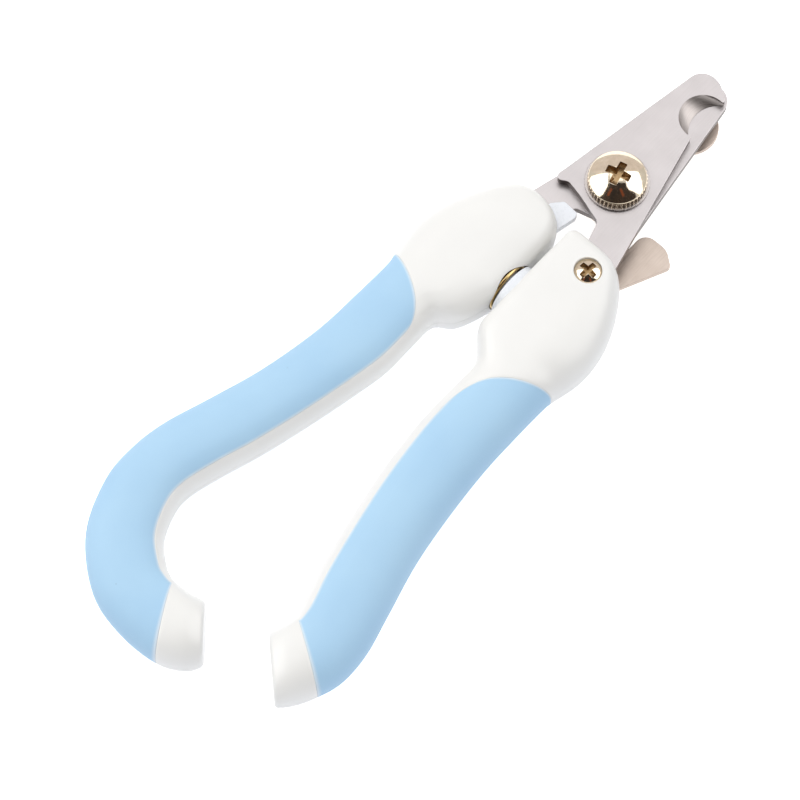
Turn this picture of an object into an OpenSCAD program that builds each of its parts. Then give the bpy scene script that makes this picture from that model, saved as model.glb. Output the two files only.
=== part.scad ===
// Claw clipper for pets: two notched blades crossing on one pivot, sprung
// handles with soft grips, and a swinging cut-length guard behind the blades.
// The pivot axis is the Z axis, +Y runs to the blade tips, +Z is the front.

/* [Blades] */
// Thickness of each blade
blade_t = 1.8; // [1.4:0.1:2]
// Running gap between the two blades
blade_gap = 0.1; // [0.06:0.02:0.16]
// Radius of the cutting edge in each blade's notch
edge_r = 5.9; // [5.6:0.1:6.2]

/* [Pivot] */
// Radius of the pivot screw's shank
pivot_r = 2.5; // [2:0.1:2.8]
// Radial clearance of everything that turns on the pivot
run_gap = 0.05; // [0.02:0.01:0.08]
// Radius of the pivot screw's domed head
pivot_head_r = 5.5; // [5:0.1:5.8]
// Height of the knurled side of the pivot screw's head
pivot_side_h = 1.4; // [1:0.1:1.8]
// Rise of the dome above the knurled side
pivot_dome_h = 2.3; // [1.8:0.1:2.6]
// Radius of the thin washer under the head
washer_r = 6.1; // [5.8:0.1:6.4]
// Thickness of the thin washer
washer_t = 0.5; // [0.3:0.05:0.6]

/* [Guard] */
// Thickness of the guard plate
guard_t = 1; // [0.8:0.1:1]
// Radius of the guard's round stop end
guard_stop_r = 5.6; // [5:0.1:5.8]

/* [Handles] */
// Half the thickness of the handle heads
head_half = 6.8; // [6.6:0.1:6.8]
// Half the thickness of the handles along the grips
grip_half = 6; // [5.6:0.1:6.2]
// Thickness of the soft grips
grip_t = 1.5; // [1.2:0.1:1.8]
// Radius of the machine screws that clamp the blade shanks
screw_r = 1.5; // [1.25:0.05:1.6]
// Radius of those screws' pan heads
screw_head_r = 2.6; // [2.5:0.05:2.7]

/* [Spring] */
// Radius of the spring's coils, to the middle of the wire
coil_r = 4.6; // [4.4:0.1:4.7]
// Radius of the spring's wire
wire_r = 0.45; // [0.35:0.05:0.5]
// Number of turns
turns = 5; // [4:1:6]

/* [Hidden] */

// Heights: the plane between the blades lies half-way up the heads.
mid_z = 7;
front_z = mid_z + blade_gap / 2;
rear_z = mid_z - blade_gap / 2 - blade_t;
washer_z = front_z + blade_t + run_gap;
head_z = washer_z + washer_t;
nut_t = 1.6;
wave_t = 0.35;
guard_z = nut_t + wave_t + run_gap;
spacer_z = guard_z + guard_t + run_gap;
bore_r = pivot_r + run_gap;
// Shapes that meet face to face are run this far into each other.
overlap = 0.001;
nut_r = 5.2;
nut_bevel = 0.3;
// How far the pivot screw goes down into the nut.
thread_l = 0.6;
wave_r = 4.8;

// Half of the blades' outline: the front blade lies with its lobe on the left
// and its shank on the right. Each corner is x, y and the radius of its round.
blade_corners = [
    [-9.5, -7.8, 0.9], [-3.8, 29.2, 3.4], [0.9, 28.4, 3], [3.7, 26.4, 0.5],
    [3.2, 21.4, 0.2], [3.2, 19.6, 0.2], [11.4, -13, 4], [16, -31.5, 1.6],
    [10.2, -33, 1.6], [4.2, -13.4, 3], [2.7, -8.5, 1.4], [-3.4, -6.7, 3],
    [-6.7, -6, 1.6]
];
// The notch: its edge on the mating face and its wider mouth on the outer face.
edge_at = [7, 21.2];
mouth_at = [3.1, 21];
mouth_r = 4.75;
// The machine screw that clamps each shank: its place, length and seat height.
shank_screw = [9.2, -18.8];
screw_head_h = 1.9;
screw_side_h = screw_head_h * 0.55;
screw_rise = 0.32;
screw_len = 8;
screw_seat_z = 12.1;
screw_gap = 0.1;
seat_gap = 0.15;
insert_r = 2.3;
insert_l = 3.4;
// The cross recesses of the two kinds of screw: reach, width and depth.
pivot_cross = [2.45, 1.5, 1.5];
handle_cross = [1.65, 1, 1];

// The guard: a round stop behind the notch, a hub, and a thumb paddle.
guard_stop = [0.7, 20.2];
guard_hub_r = 6.4;
guard_arm = [[-3.4, 0], [-2.6, 17], [3.8, 17], [4.6, 0]];
guard_paddle = [
    [6, 1, 0.5], [7.4, -8.9, 0.6], [9.1, -8.9, 0.6], [9.1, -2, 2.4], [14.5, -1.9, 3.5],
    [17.5, -4.2, 1], [12.7, -15.1, 1.2], [7.4, -14.6, 2], [1.6, -6.1, 0.5]
];
guard_reach = 19.7;
guard_relief = 1.2;

// Where the heads and the spring are.
spring_y = -29;
spring_x = [-6.8, -0.9];
pocket_r = 5.25;
pocket_x = -7.3;
// The seat: its flange, and the plain stem that holds it in the right head.
seat_r = 5.45;
seat_x = [-0.4, 3.9];
spigot_x = -1.9;
spigot_gap = 0.5;
stem_r = 3;
stem_x = 7;
fit_gap = 0.05;

// The stop that the front blade's lobe meets when the handles open fully, and
// the part of it that is let into the left head.
stop_t = 1.7;
stop_corners = [
    [-6.4, -11.6, 0.3], [-4.6, -9.5, 0.8], [-1.2, -9.7, 0.6], [-0.9, -10.8, 0.5],
    [-2.1, -16.6, 1], [-3.2, -20, 1], [-6.4, -20, 1]
];
stop_root = [[-6.5, -11], [-0.8, -11], [-2, -17], [-3.1, -20.1], [-6.5, -20.1]];

// The pocket for a blade's shank: as deep as the blade and this much more.
shank_room = 0.1;
shank_corners = [[2.7, -9], [10.9, -10], [16.6, -32.2], [9.8, -34]];

// Each handle's stations, from the head's top to the handle's end: the inner
// edge's x and y, the outer edge's x and y, the half thickness there, and how
// square the inner and outer sides of the section are (2 is a true ellipse).
// h and g are short names for the half thickness at the head and at the grip.
h = head_half;
g = grip_half;
right_stations = [
    [1.6, -13.6, 11.4, -13.6, h - 1.4, 7, 3.2], [0.8, -14.6, 13.5, -14.8, h - 0.5, 7, 3],
    [0.8, -17, 15.9, -17.3, h - 0.2, 7, 2.8], [0.8, -21, 18.4, -21.4, h, 7, 2.7],
    [0.8, -26, 20.3, -26, h, 7, 2.6], [0.8, -31, 21.2, -30.5, h, 6, 2.6],
    [0.8, -35.4, 21.2, -34.5, h, 5, 2.5], [1, -39.6, 20.6, -37.9, h - 0.2, 4, 2.4],
    [5.1, -44.8, 20.1, -39.8, g + 0.3, 3, 2.4], [5.2, -49.9, 19.8, -42.2, g + 0.1, 2.4, 2.3],
    [5.2, -56.3, 19.8, -49.8, g, 2.3, 2.3], [5.5, -62.2, 20.1, -58.9, g, 2.3, 2.3],
    [6.8, -72.1, 21.3, -69.9, g, 2.3, 2.3], [8.8, -82.1, 23.1, -80.3, g, 2.3, 2.3],
    [11.4, -93.1, 25.9, -90.4, g, 2.3, 2.3], [13.4, -99, 28.1, -98.6, g, 2.3, 2.3],
    [14, -100.8, 28.5, -105.2, g, 2.3, 2.3], [14.4, -102.4, 27.1, -110.4, g, 2.4, 2.3],
    [13.8, -105.9, 25.2, -114.2, g, 2.6, 2.4], [12.9, -108, 23, -117.1, g - 1, 2.6, 2.4]
];
left_stations = [
    [-4.6, -12.9, -11, -12.6, h - 1.8, 2.6, 2.6], [-2.4, -14, -13.6, -13.8, h - 0.7, 3, 2.7],
    [-1, -16.6, -16.3, -16.6, h - 0.3, 3.6, 2.7], [-0.6, -20.6, -19, -21, h, 4, 2.6],
    [-0.6, -25.6, -20.9, -26, h, 4, 2.6], [-0.7, -30.6, -21.6, -30.5, h, 4, 2.6],
    [-1.1, -34.6, -21.5, -34.4, h, 4, 2.5], [-3.1, -40.6, -20.9, -37.5, h - 0.3, 3.4, 2.4],
    [-6.2, -43.7, -20.5, -39.4, g + 0.2, 2.8, 2.4], [-6.3, -49, -20.2, -41.6, g + 0.1, 2.4, 2.3],
    [-6.2, -56.3, -20.3, -49.8, g, 2.3, 2.3], [-7.3, -63.2, -20.7, -59.9, g, 2.3, 2.3],
    [-9.4, -73.6, -22.7, -72, g, 2.3, 2.3], [-11.8, -83.7, -25.7, -82.6, g, 2.3, 2.3],
    [-14.1, -91.3, -28.6, -92.2, g, 2.3, 2.3], [-15.8, -98.3, -29.5, -99.9, g, 2.3, 2.3],
    [-15.4, -102.7, -28.6, -107.4, g, 2.3, 2.3], [-13, -107.9, -24.1, -116.7, g, 2.3, 2.3],
    [-9.2, -111.1, -15.5, -123.7, g, 2.3, 2.3], [-7.6, -111.9, -6.8, -125.8, g, 2.3, 2.3],
    [-6.1, -112.3, 1.7, -125.3, g, 2.4, 2.3], [-2.4, -112.2, 6.5, -122.8, g - 0.1, 2.6, 2.4],
    [0.7, -111.3, 8.3, -120, g - 1.2, 2.6, 2.4]
];
// The grips run between these stations, and each station gap has this many rings.
right_grip_span = [9, 17];
left_grip_span = [9, 20];
rings_per_gap = 2;
// Half a section has this many steps, and the grip stops at this angle from
// the outer edge, which leaves the hard rim along the inner edge.
half_steps = 12;
grip_angle = 142;

// Points of an outline whose corners are rounded to their third value.
function unit(v) = v / norm(v);
function corner_arc(a, b, c, r) =
    let (
        p = [b[0], b[1]],
        u = unit([a[0], a[1]] - p),
        w = unit([c[0], c[1]] - p),
        half = acos(max(-1, min(1, u * w))) / 2,
        d = r / tan(half),
        o = p + unit(u + w) * r / sin(half),
        s = p + u * d - o,
        e = p + w * d - o,
        turn = s[0] * e[1] - s[1] * e[0] > 0 ? 1 : -1,
        sweep = turn * acos(max(-1, min(1, (s * e) / (r * r)))),
        n = max(2, ceil(abs(sweep) / 12))
    )
    [for (i = [0:n]) let (q = sweep * i / n)
        o + [s[0] * cos(q) - s[1] * sin(q), s[0] * sin(q) + s[1] * cos(q)]];
function rounded(pts) =
    let (n = len(pts))
    [for (i = [0:n - 1]) each corner_arc(pts[(i + n - 1) % n], pts[i], pts[(i + 1) % n], pts[i][2])];

// A smooth curve through the stations, as rings of points round each section.
function between(a, b, c, d, t) =
    0.5 * (2 * b + (c - a) * t + (2 * a - 5 * b + 4 * c - d) * t * t
        + (3 * b - a - 3 * c + d) * t * t * t);
function smooth(rows, first, last) =
    let (n = len(rows) - 1)
    [for (i = [first:last - 1]) for (k = [0:rings_per_gap - 1])
        between(rows[max(i - 1, 0)], rows[i], rows[i + 1], rows[min(i + 2, n)], k / rings_per_gap),
     rows[last]];
function signed_power(v, e) = v < 0 ? -pow(-v, e) : pow(v, e);
function on_section(row, angle, inset) =
    let (
        inner = [row[0], row[1]],
        outer = [row[2], row[3]],
        along = unit(outer - inner),
        half = norm(outer - inner) / 2 - inset,
        tall = row[4] - inset,
        n = cos(angle) < 0 ? row[5] : row[6],
        p = (inner + outer) / 2 + along * half * signed_power(cos(angle), 2 / n)
    )
    [p[0], p[1], mid_z + tall * signed_power(sin(angle), 2 / n)];
function half_ring(row, side, inset) =
    [for (i = [0:half_steps]) on_section(row, side * 180 * i / half_steps, inset)];
function grip_ring(row) = concat(
    [for (i = [0:half_steps * 2]) on_section(row, grip_angle * (i / half_steps - 1), 0)],
    [for (i = [half_steps * 2:-1:0]) on_section(row, grip_angle * (i / half_steps - 1), grip_t)]);

// A solid through a list of rings, with flat ends.
module loft(rings, flip) {
    n = len(rings[0]);
    m = len(rings);
    sides = [for (j = [0:m - 2]) for (i = [0:n - 1])
        let (a = j * n + i, b = j * n + (i + 1) % n)
        each [[a, b, b + n], [a, b + n, a + n]]];
    ends = [[for (i = [n - 1:-1:0]) i], [for (i = [0:n - 1]) (m - 1) * n + i]];
    faces = concat(sides, ends);
    turned = [for (f = faces) [for (i = [len(f) - 1:-1:0]) f[i]]];
    polyhedron([for (r = rings) each r], flip ? turned : faces, convexity = 10);
}

// One half of a handle: full size at the head and the end, and let in by the
// grip's thickness between the two.
module shell_half(stations, span, side, flip) {
    last = len(stations) - 1;
    head = smooth(stations, 0, span[0]);
    waist = smooth(stations, span[0], span[1]);
    end = smooth(stations, span[1], last);
    rings = concat(
        [for (row = head) half_ring(row, side, 0)],
        [for (row = waist) half_ring(row, side, grip_t)],
        [for (row = end) half_ring(row, side, 0)]);
    loft(rings, flip);
}
module grip(stations, span, flip) {
    loft([for (row = smooth(stations, span[0], span[1])) grip_ring(row)], flip);
}

// Shapes that more than one sub-part needs.
module blade_outline() {
    polygon(rounded(blade_corners));
}
module blade() {
    difference() {
        linear_extrude(blade_t) blade_outline();
        translate([0, 0, -1]) cylinder(r = bore_r, h = blade_t + 2, $fn = 64);
        translate([shank_screw[0], shank_screw[1], -1])
            cylinder(r = screw_r + screw_gap, h = blade_t + 2, $fn = 32);
        hull() {
            translate([edge_at[0], edge_at[1], -0.02]) cylinder(r = edge_r, h = 0.02, $fn = 64);
            translate([mouth_at[0], mouth_at[1], blade_t]) cylinder(r = mouth_r, h = 0.02, $fn = 64);
        }
    }
}
module ring_at(z, t, r, hole) {
    translate([0, 0, z]) difference() {
        cylinder(r = r, h = t, $fn = 96);
        translate([0, 0, -1]) cylinder(r = hole, h = t + 2, $fn = 64);
    }
}
module shank_pocket() {
    linear_extrude(blade_t + shank_room) polygon(shank_corners);
}
// The cross recess of a screw head, cut down from z = 0.
module cross_recess(cross) {
    for (turn = [0, 90])
        rotate([0, 0, turn]) translate([-cross[0], -cross[1] / 2, -cross[2]])
            cube([2 * cross[0], cross[1], cross[2] + 1]);
}
// A pan head screw that points down from its seat at z = 0.
module handle_screw() {
    difference() {
        union() {
            cylinder(r = screw_head_r, h = screw_side_h, $fn = 64);
            translate([0, 0, screw_side_h - overlap])
                scale([1, 1, screw_rise]) half_ball(screw_head_r);
            translate([0, 0, -screw_len]) cylinder(r = screw_r, h = screw_len + 0.1, $fn = 48);
        }
        translate([0, 0, screw_side_h + screw_rise * screw_head_r]) cross_recess(handle_cross);
    }
}
module half_ball(r) {
    rotate_extrude($fn = 96) intersection() {
        circle(r = r, $fn = 96);
        square([r + 1, r + 1]);
    }
}
module screw_insert() {
    difference() {
        cylinder(r = insert_r, h = insert_l, $fn = 48);
        translate([0, 0, -1]) cylinder(r = screw_r + run_gap, h = insert_l + 2, $fn = 48);
    }
}
// Cuts for the screw, whose head sits in the front of a head.
module screw_cuts() {
    translate([shank_screw[0], shank_screw[1], screw_seat_z])
        cylinder(r = screw_head_r + seat_gap, h = 4, $fn = 64);
    translate([shank_screw[0], shank_screw[1], mid_z - 1])
        cylinder(r = screw_r + screw_gap, h = screw_len, $fn = 48);
}
module insert_cuts() {
    translate([shank_screw[0], shank_screw[1], mid_z - insert_l])
        cylinder(r = insert_r + 0.02, h = insert_l + 1, $fn = 48);
}
module behind() {
    translate([0, 0, 2 * mid_z]) mirror([0, 0, 1]) mirror([1, 0, 0]) children();
}
module along_x(x0, x1, r) {
    translate([x0, spring_y, mid_z]) rotate([0, 90, 0]) cylinder(r = r, h = x1 - x0, $fn = 64);
}

module seat_cuts() {
    along_x(-2, seat_x[1] + 0.1, seat_r + fit_gap);
    along_x(seat_x[1] - 0.9, stem_x + 0.1, stem_r + fit_gap);
}

// The sub-parts.
module front_blade() {
    color([0.85, 0.84, 0.84]) translate([0, 0, front_z]) blade();
}
module rear_blade() {
    color([0.85, 0.84, 0.84]) behind() translate([0, 0, front_z]) blade();
}
module pivot_screw() {
    color([0.81, 0.75, 0.66]) difference() {
        union() {
            translate([0, 0, nut_t - thread_l])
                cylinder(r = pivot_r, h = head_z - nut_t + thread_l + 0.1, $fn = 64);
            translate([0, 0, head_z]) cylinder(r = pivot_head_r, h = pivot_side_h, $fn = 96);
            translate([0, 0, head_z + pivot_side_h - overlap])
                scale([1, 1, pivot_dome_h / pivot_head_r]) half_ball(pivot_head_r);
        }
        translate([0, 0, head_z + pivot_side_h + pivot_dome_h]) cross_recess(pivot_cross);
    }
}
module pivot_washer() {
    color([0.75, 0.74, 0.72]) ring_at(washer_z, washer_t, washer_r, bore_r);
}
module guard_spacer() {
    color([0.7, 0.7, 0.7]) ring_at(spacer_z, rear_z - spacer_z, nut_r, bore_r);
}
module wave_washer() {
    color([0.7, 0.7, 0.7]) ring_at(nut_t, wave_t, wave_r, bore_r);
}
module pivot_nut() {
    color([0.81, 0.75, 0.66]) difference() {
        union() {
            translate([0, 0, nut_bevel]) cylinder(r = nut_r, h = nut_t - nut_bevel, $fn = 96);
            cylinder(r1 = nut_r - nut_bevel, r2 = nut_r, h = nut_bevel, $fn = 96);
        }
        translate([0, 0, nut_t - thread_l]) cylinder(r = bore_r, h = 1, $fn = 64);
    }
}
module guard_plate() {
    color([0.8, 0.76, 0.71]) translate([0, 0, guard_z]) difference() {
        union() {
            cylinder(r = guard_hub_r, h = guard_t, $fn = 96);
            translate(guard_stop) cylinder(r = guard_stop_r, h = guard_t, $fn = 96);
            linear_extrude(guard_t) polygon(guard_arm);
            linear_extrude(guard_t) polygon(rounded(guard_paddle));
        }
        translate([0, 0, -1]) cylinder(r = bore_r, h = guard_t + 2, $fn = 64);
    }
}
module right_front_shell() {
    color([0.97, 0.97, 0.96]) difference() {
        shell_half(right_stations, right_grip_span, 1, false);
        translate([0, 0, mid_z - fit_gap]) shank_pocket();
        screw_cuts();
        seat_cuts();
    }
}
module right_rear_shell() {
    color([0.97, 0.97, 0.96]) difference() {
        shell_half(right_stations, right_grip_span, -1, true);
        insert_cuts();
        translate([0, 0, -1]) cylinder(r = guard_reach, h = guard_z + guard_t + guard_relief, $fn = 128);
        seat_cuts();
    }
}
module left_rear_shell() {
    color([0.97, 0.97, 0.96]) difference() {
        shell_half(left_stations, left_grip_span, -1, false);
        behind() translate([0, 0, mid_z - fit_gap]) shank_pocket();
        behind() screw_cuts();
        along_x(pocket_x, 2, pocket_r);
    }
}
module left_front_shell() {
    color([0.97, 0.97, 0.96]) difference() {
        shell_half(left_stations, left_grip_span, 1, true);
        behind() insert_cuts();
        translate([0, 0, mid_z - fit_gap]) linear_extrude(stop_t + 2 * fit_gap) polygon(stop_root);
        along_x(pocket_x, 2, pocket_r);
    }
}
module left_grip() {
    color([0.68, 0.84, 0.96]) grip(left_stations, left_grip_span, true);
}
module right_grip() {
    color([0.68, 0.84, 0.96]) grip(right_stations, right_grip_span, false);
}
module right_handle_screw() {
    color([0.81, 0.75, 0.66])
        translate([shank_screw[0], shank_screw[1], screw_seat_z]) handle_screw();
}
module left_handle_screw() {
    color([0.81, 0.75, 0.66]) behind()
        translate([shank_screw[0], shank_screw[1], screw_seat_z]) handle_screw();
}
module right_screw_insert() {
    color([0.8, 0.68, 0.36])
        translate([shank_screw[0], shank_screw[1], mid_z - insert_l]) screw_insert();
}
module left_screw_insert() {
    color([0.8, 0.68, 0.36]) behind()
        translate([shank_screw[0], shank_screw[1], mid_z - insert_l]) screw_insert();
}
module opening_stop() {
    color([0.93, 0.95, 0.98]) translate([0, 0, mid_z]) linear_extrude(stop_t)
        polygon(rounded(stop_corners));
}
// The seat whose spigot centres the spring on the right head.
module spring_seat() {
    color([0.93, 0.95, 0.98]) union() {
        along_x(seat_x[0], seat_x[1], seat_r);
        along_x(spigot_x, 0, coil_r - wire_r - spigot_gap);
        along_x(seat_x[1] - 0.9, stem_x, stem_r);
    }
}
// Rings of wire along the helix, from the left head to the seat.
module handle_spring() {
    steps = 20 * turns;
    rings = [for (j = [0:steps]) let (q = 360 * turns * j / steps)
        [for (i = [0:7]) let (e = 45 * i, r = coil_r + wire_r * cos(e))
            [spring_x[0] + (spring_x[1] - spring_x[0]) * j / steps + wire_r * sin(e),
             spring_y + r * cos(q), mid_z + r * sin(q)]]];
    color([0.84, 0.76, 0.6]) loft(rings, false);
}

front_blade();
rear_blade();
pivot_screw();
pivot_washer();
pivot_nut();
guard_spacer();
guard_plate();
wave_washer();
left_front_shell();
left_rear_shell();
left_grip();
right_front_shell();
right_rear_shell();
right_grip();
left_handle_screw();
left_screw_insert();
right_handle_screw();
right_screw_insert();
opening_stop();
spring_seat();
handle_spring();
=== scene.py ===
# %% [markdown]
# # A sprung claw clipper, piece by piece
# The clipper is two notched blades that cross on one pivot screw, two moulded
# handles with soft grips, a spring between them, and a thin guard behind the
# blades. The measured solid model is loaded first and stays fixed. Every piece
# here is put round it, in metres, in the same axes: the pivot is the Z axis,
# the blade tips point along +Y, and +Z is the front.

# %% Load the fixed frame
import math

import bmesh
import bpy
import numpy as np
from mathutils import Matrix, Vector


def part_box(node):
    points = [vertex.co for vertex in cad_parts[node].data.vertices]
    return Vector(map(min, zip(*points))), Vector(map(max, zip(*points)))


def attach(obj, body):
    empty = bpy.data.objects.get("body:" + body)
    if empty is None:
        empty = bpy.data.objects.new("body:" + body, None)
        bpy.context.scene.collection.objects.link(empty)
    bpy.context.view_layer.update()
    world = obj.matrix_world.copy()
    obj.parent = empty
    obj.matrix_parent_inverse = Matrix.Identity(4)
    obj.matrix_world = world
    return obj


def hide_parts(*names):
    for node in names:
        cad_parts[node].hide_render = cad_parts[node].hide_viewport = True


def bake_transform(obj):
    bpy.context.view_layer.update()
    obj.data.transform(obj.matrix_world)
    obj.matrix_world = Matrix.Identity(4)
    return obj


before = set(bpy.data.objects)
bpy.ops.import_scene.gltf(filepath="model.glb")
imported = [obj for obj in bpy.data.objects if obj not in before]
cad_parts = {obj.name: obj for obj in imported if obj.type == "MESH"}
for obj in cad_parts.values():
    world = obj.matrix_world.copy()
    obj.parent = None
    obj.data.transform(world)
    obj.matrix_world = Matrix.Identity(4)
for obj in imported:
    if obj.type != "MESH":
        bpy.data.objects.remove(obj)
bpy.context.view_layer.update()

MM = 0.001

# %% [markdown]
# Heights come from the solid model, so a piece can't drift away from the part
# it covers. `level` reads the lowest and highest z of a part in millimetres.
# All shapes below are worked out in millimetres too, and turned into metres
# once, when the mesh is made.

# %% Heights read from the model
def level(node):
    """The lowest and highest z of one part, in mm."""
    low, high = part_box(node)
    return low.z / MM, high.z / MM


def middle(node):
    """The middle of a part's box, in mm."""
    low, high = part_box(node)
    return (np.array(low) + np.array(high)) / 2 / MM


front_blade_z = level("front_blade")
rear_blade_z = level("rear_blade")
mid_z = (front_blade_z[0] + rear_blade_z[1]) / 2
print("front blade", front_blade_z, "rear blade", rear_blade_z, "middle", mid_z)

# %% [markdown]
# Nearly every piece is a grid of points: rows along one parameter and columns
# along the other. One function joins such a grid with four-sided faces. Another
# puts several grids and end caps into one mesh, welds the points that meet,
# and turns all faces outwards. Edges sharper than an angle stay crisp, and
# everything flatter is shaded smooth.

# %% Grids to meshes
WELD = 2e-7  # metres: points nearer than this become one


def skin(grid, wrap_rows=False, wrap_columns=False):
    """Points and quads of a grid: point (j, i) joins (j, i+1), (j+1, i+1) and (j+1, i)."""
    rows, columns = grid.shape[:2]
    j, i = np.meshgrid(
        np.arange(rows - (not wrap_rows)), np.arange(columns - (not wrap_columns)), indexing="ij"
    )
    up, right = (j + 1) % rows, (i + 1) % columns
    corners = [j * columns + i, j * columns + right, up * columns + right, up * columns + i]
    return grid.reshape(-1, 3), np.stack(corners, -1).reshape(-1, 4)


def cap(ring):
    """One flat face that closes a ring of points."""
    return np.asarray(ring), np.arange(len(ring))[None, :]


def mesh_from(name, *parts, marks=None):
    """A mesh object from (points in mm, faces) parts, welded and turned outwards.
    Marks are one number for each point, kept as the attribute "mark"."""
    starts = np.cumsum([0] + [len(points) for points, _ in parts])
    points = np.concatenate([points for points, _ in parts]) * MM
    faces = [f for start, (_, quads) in zip(starts, parts) for f in (quads + start).tolist()]
    mesh = bpy.data.meshes.new(name)
    mesh.from_pydata(points.tolist(), [], faces)
    if marks is not None:
        mesh.attributes.new("mark", "FLOAT", "POINT").data.foreach_set("value", marks)
    shape = bmesh.new()
    shape.from_mesh(mesh)
    bmesh.ops.remove_doubles(shape, verts=shape.verts, dist=WELD)
    bmesh.ops.recalc_face_normals(shape, faces=shape.faces)
    shape.to_mesh(mesh)
    shape.free()
    piece = bpy.data.objects.new(name, mesh)
    bpy.context.scene.collection.objects.link(piece)
    return piece

# %% [markdown]
# A made mesh still needs its shading set, and some need a hole cut. Cutting
# with a second mesh is the surest way to a crisp hole, and the cutter is
# removed afterwards. To choose faces by their place, all their centres or
# normals are read at once as one array.

# %% Finishing a mesh
def shade(piece, degrees=35):
    """Smooth shading that stays crisp where faces meet at more than this angle. The normals
    are weighted by face area, so that a large flat face stays flat up to its rounded rim."""
    piece.data.shade_smooth()
    piece.data.set_sharp_from_angle(angle=math.radians(degrees))
    weighted = piece.modifiers.new("weighted_normals", "WEIGHTED_NORMAL")
    weighted.weight, weighted.keep_sharp = 100, True
    return piece


def bake(piece):
    """Turns a piece's modifiers into its mesh."""
    graph = bpy.context.evaluated_depsgraph_get()
    mesh = bpy.data.meshes.new_from_object(piece.evaluated_get(graph))
    piece.modifiers.clear()
    piece.data = mesh
    return piece


def cut(piece, *cutters):
    """Takes the cutters' space out of the piece, then removes the cutters."""
    for cutter in cutters:
        step = piece.modifiers.new("cut", "BOOLEAN")
        step.operation, step.solver, step.object = "DIFFERENCE", "EXACT", cutter
    bake(piece)
    for cutter in cutters:
        bpy.data.objects.remove(cutter)
    return piece


def read(items, what, width=3, kind=float):
    """One property of every vertex, edge or face, as an array with a row for each."""
    values = np.zeros(len(items) * width, kind)
    items.foreach_get(what, values)
    return values.reshape(-1, width)


def paint(piece, numbers):
    """Sets the material number of every face."""
    piece.data.polygons.foreach_set("material_index", numbers.astype(np.int32))


def report(piece):
    """Prints a piece's size and face count."""
    size = [round(x / MM, 1) for x in piece.dimensions]
    print(f"{piece.name}: {size} mm, {len(piece.data.polygons)} faces")

# %% [markdown]
# Two ways of drawing serve for all the metal parts. Sheet parts have an
# outline of straight sides and round corners, carried up through the
# thickness with a small rounding at both faces, because a stamped and tumbled
# part has no razor edges. Turned parts are a profile carried round an axis, and
# a knurl is a ripple of that profile's radius.

# %% Outlines and plates
SAME_POINT = 0.004  # mm: outline points nearer than this are one


def unit(v):
    """The vector's direction, one long."""
    return v / np.linalg.norm(v, axis=-1, keepdims=True)


def arc(centre, radius, start, end, step=4):
    """Points on a circle from one angle to another, in degrees."""
    a = np.radians(np.linspace(start, end, max(2, round(abs(end - start) / step)) + 1))
    return np.array(centre) + radius * np.stack([np.cos(a), np.sin(a)], -1)


def rounded(corners, step=4):
    """An outline from (x, y, radius) corners. The round at a corner touches both sides
    at radius / tan(half the angle) from the corner, and its centre is on the bisector."""
    corners = np.array(corners, float)
    outline = []
    for before, here, after in zip(np.roll(corners, 1, 0), corners, np.roll(corners, -1, 0)):
        point, radius = here[:2], here[2]
        if radius == 0:
            outline.append(point[None])
            continue
        u, w = unit(before[:2] - point), unit(after[:2] - point)
        half = math.acos(np.clip(u @ w, -1, 1)) / 2
        centre = point + unit(u + w) * radius / math.sin(half)
        first = point + u * radius / math.tan(half) - centre
        last = point + w * radius / math.tan(half) - centre
        start = math.degrees(math.atan2(first[1], first[0]))
        sweep = math.degrees(math.atan2(last[1], last[0])) - start
        sweep = (sweep + 180) % 360 - 180
        outline.append(arc(centre, radius, start, start + sweep, step))
    outline = np.concatenate(outline)
    apart = np.linalg.norm(outline - np.roll(outline, 1, 0), axis=1) > SAME_POINT
    return outline[apart]


def drawn_in(outline, distance):
    """The outline moved inwards, each point along the mean of its two sides' normals,
    stretched so that both sides move by the distance, with a limit at sharp corners."""
    side = unit(np.roll(outline, -1, 0) - outline)
    normal = np.stack([-side[:, 1], side[:, 0]], -1)
    both = np.roll(normal, 1, 0) + normal
    grow = 1 + (np.roll(normal, 1, 0) * normal).sum(-1, keepdims=True)
    return outline + both / np.maximum(grow, 0.5) * distance


def plate(name, outline, low, high, edge=0.1):
    """A flat plate: the outline carried from one face to the other, drawn in by
    edge * (1 - cos a) and let down by edge * (1 - sin a), so that the rims are quarter rounds."""
    turn = np.radians([90, 45, 0])
    levels = np.concatenate([low + edge * (1 - np.sin(turn)), high - edge * (1 - np.sin(turn[::-1]))])
    insets = edge * (1 - np.cos(np.concatenate([turn, turn[::-1]])))
    rings = np.stack([
        np.column_stack([drawn_in(outline, d), np.full(len(outline), z)])
        for z, d in zip(levels, insets)
    ])
    return mesh_from(name, skin(rings, wrap_columns=True), cap(rings[0]), cap(rings[-1]))


sample = rounded([(0, 0, 2), (10, 0, 2), (10, 10, 2), (0, 10, 2)])
print("a square with four round corners has", len(sample), "points")

# %% Turned profiles
def lathe(profile, centre=(0, 0, 0), steps=96, axis="z", ripple=None, count=0):
    """A profile of (radius, height) points carried round an axis:
    x = r cos a, y = r sin a, with r grown by ripple * cos(count * a)."""
    profile = np.array(profile, float)
    a = np.linspace(0, 2 * np.pi, steps, endpoint=False)
    grow = np.zeros(len(profile)) if ripple is None else np.array(ripple, float)
    r = profile[:, :1] + grow[:, None] * np.cos(count * a)
    grid = np.stack([r * np.cos(a), r * np.sin(a), np.repeat(profile[:, 1:], steps, 1)], -1)
    if axis == "x":
        grid = grid[..., [2, 0, 1]]
    return grid + np.array(centre)


def turned(name, profile, closed=False, **how):
    """A turned piece. A closed profile is a ring, and an open one ends on the axis."""
    grid = lathe(profile, **how)
    return mesh_from(name, skin(grid, wrap_rows=closed, wrap_columns=True))


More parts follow.
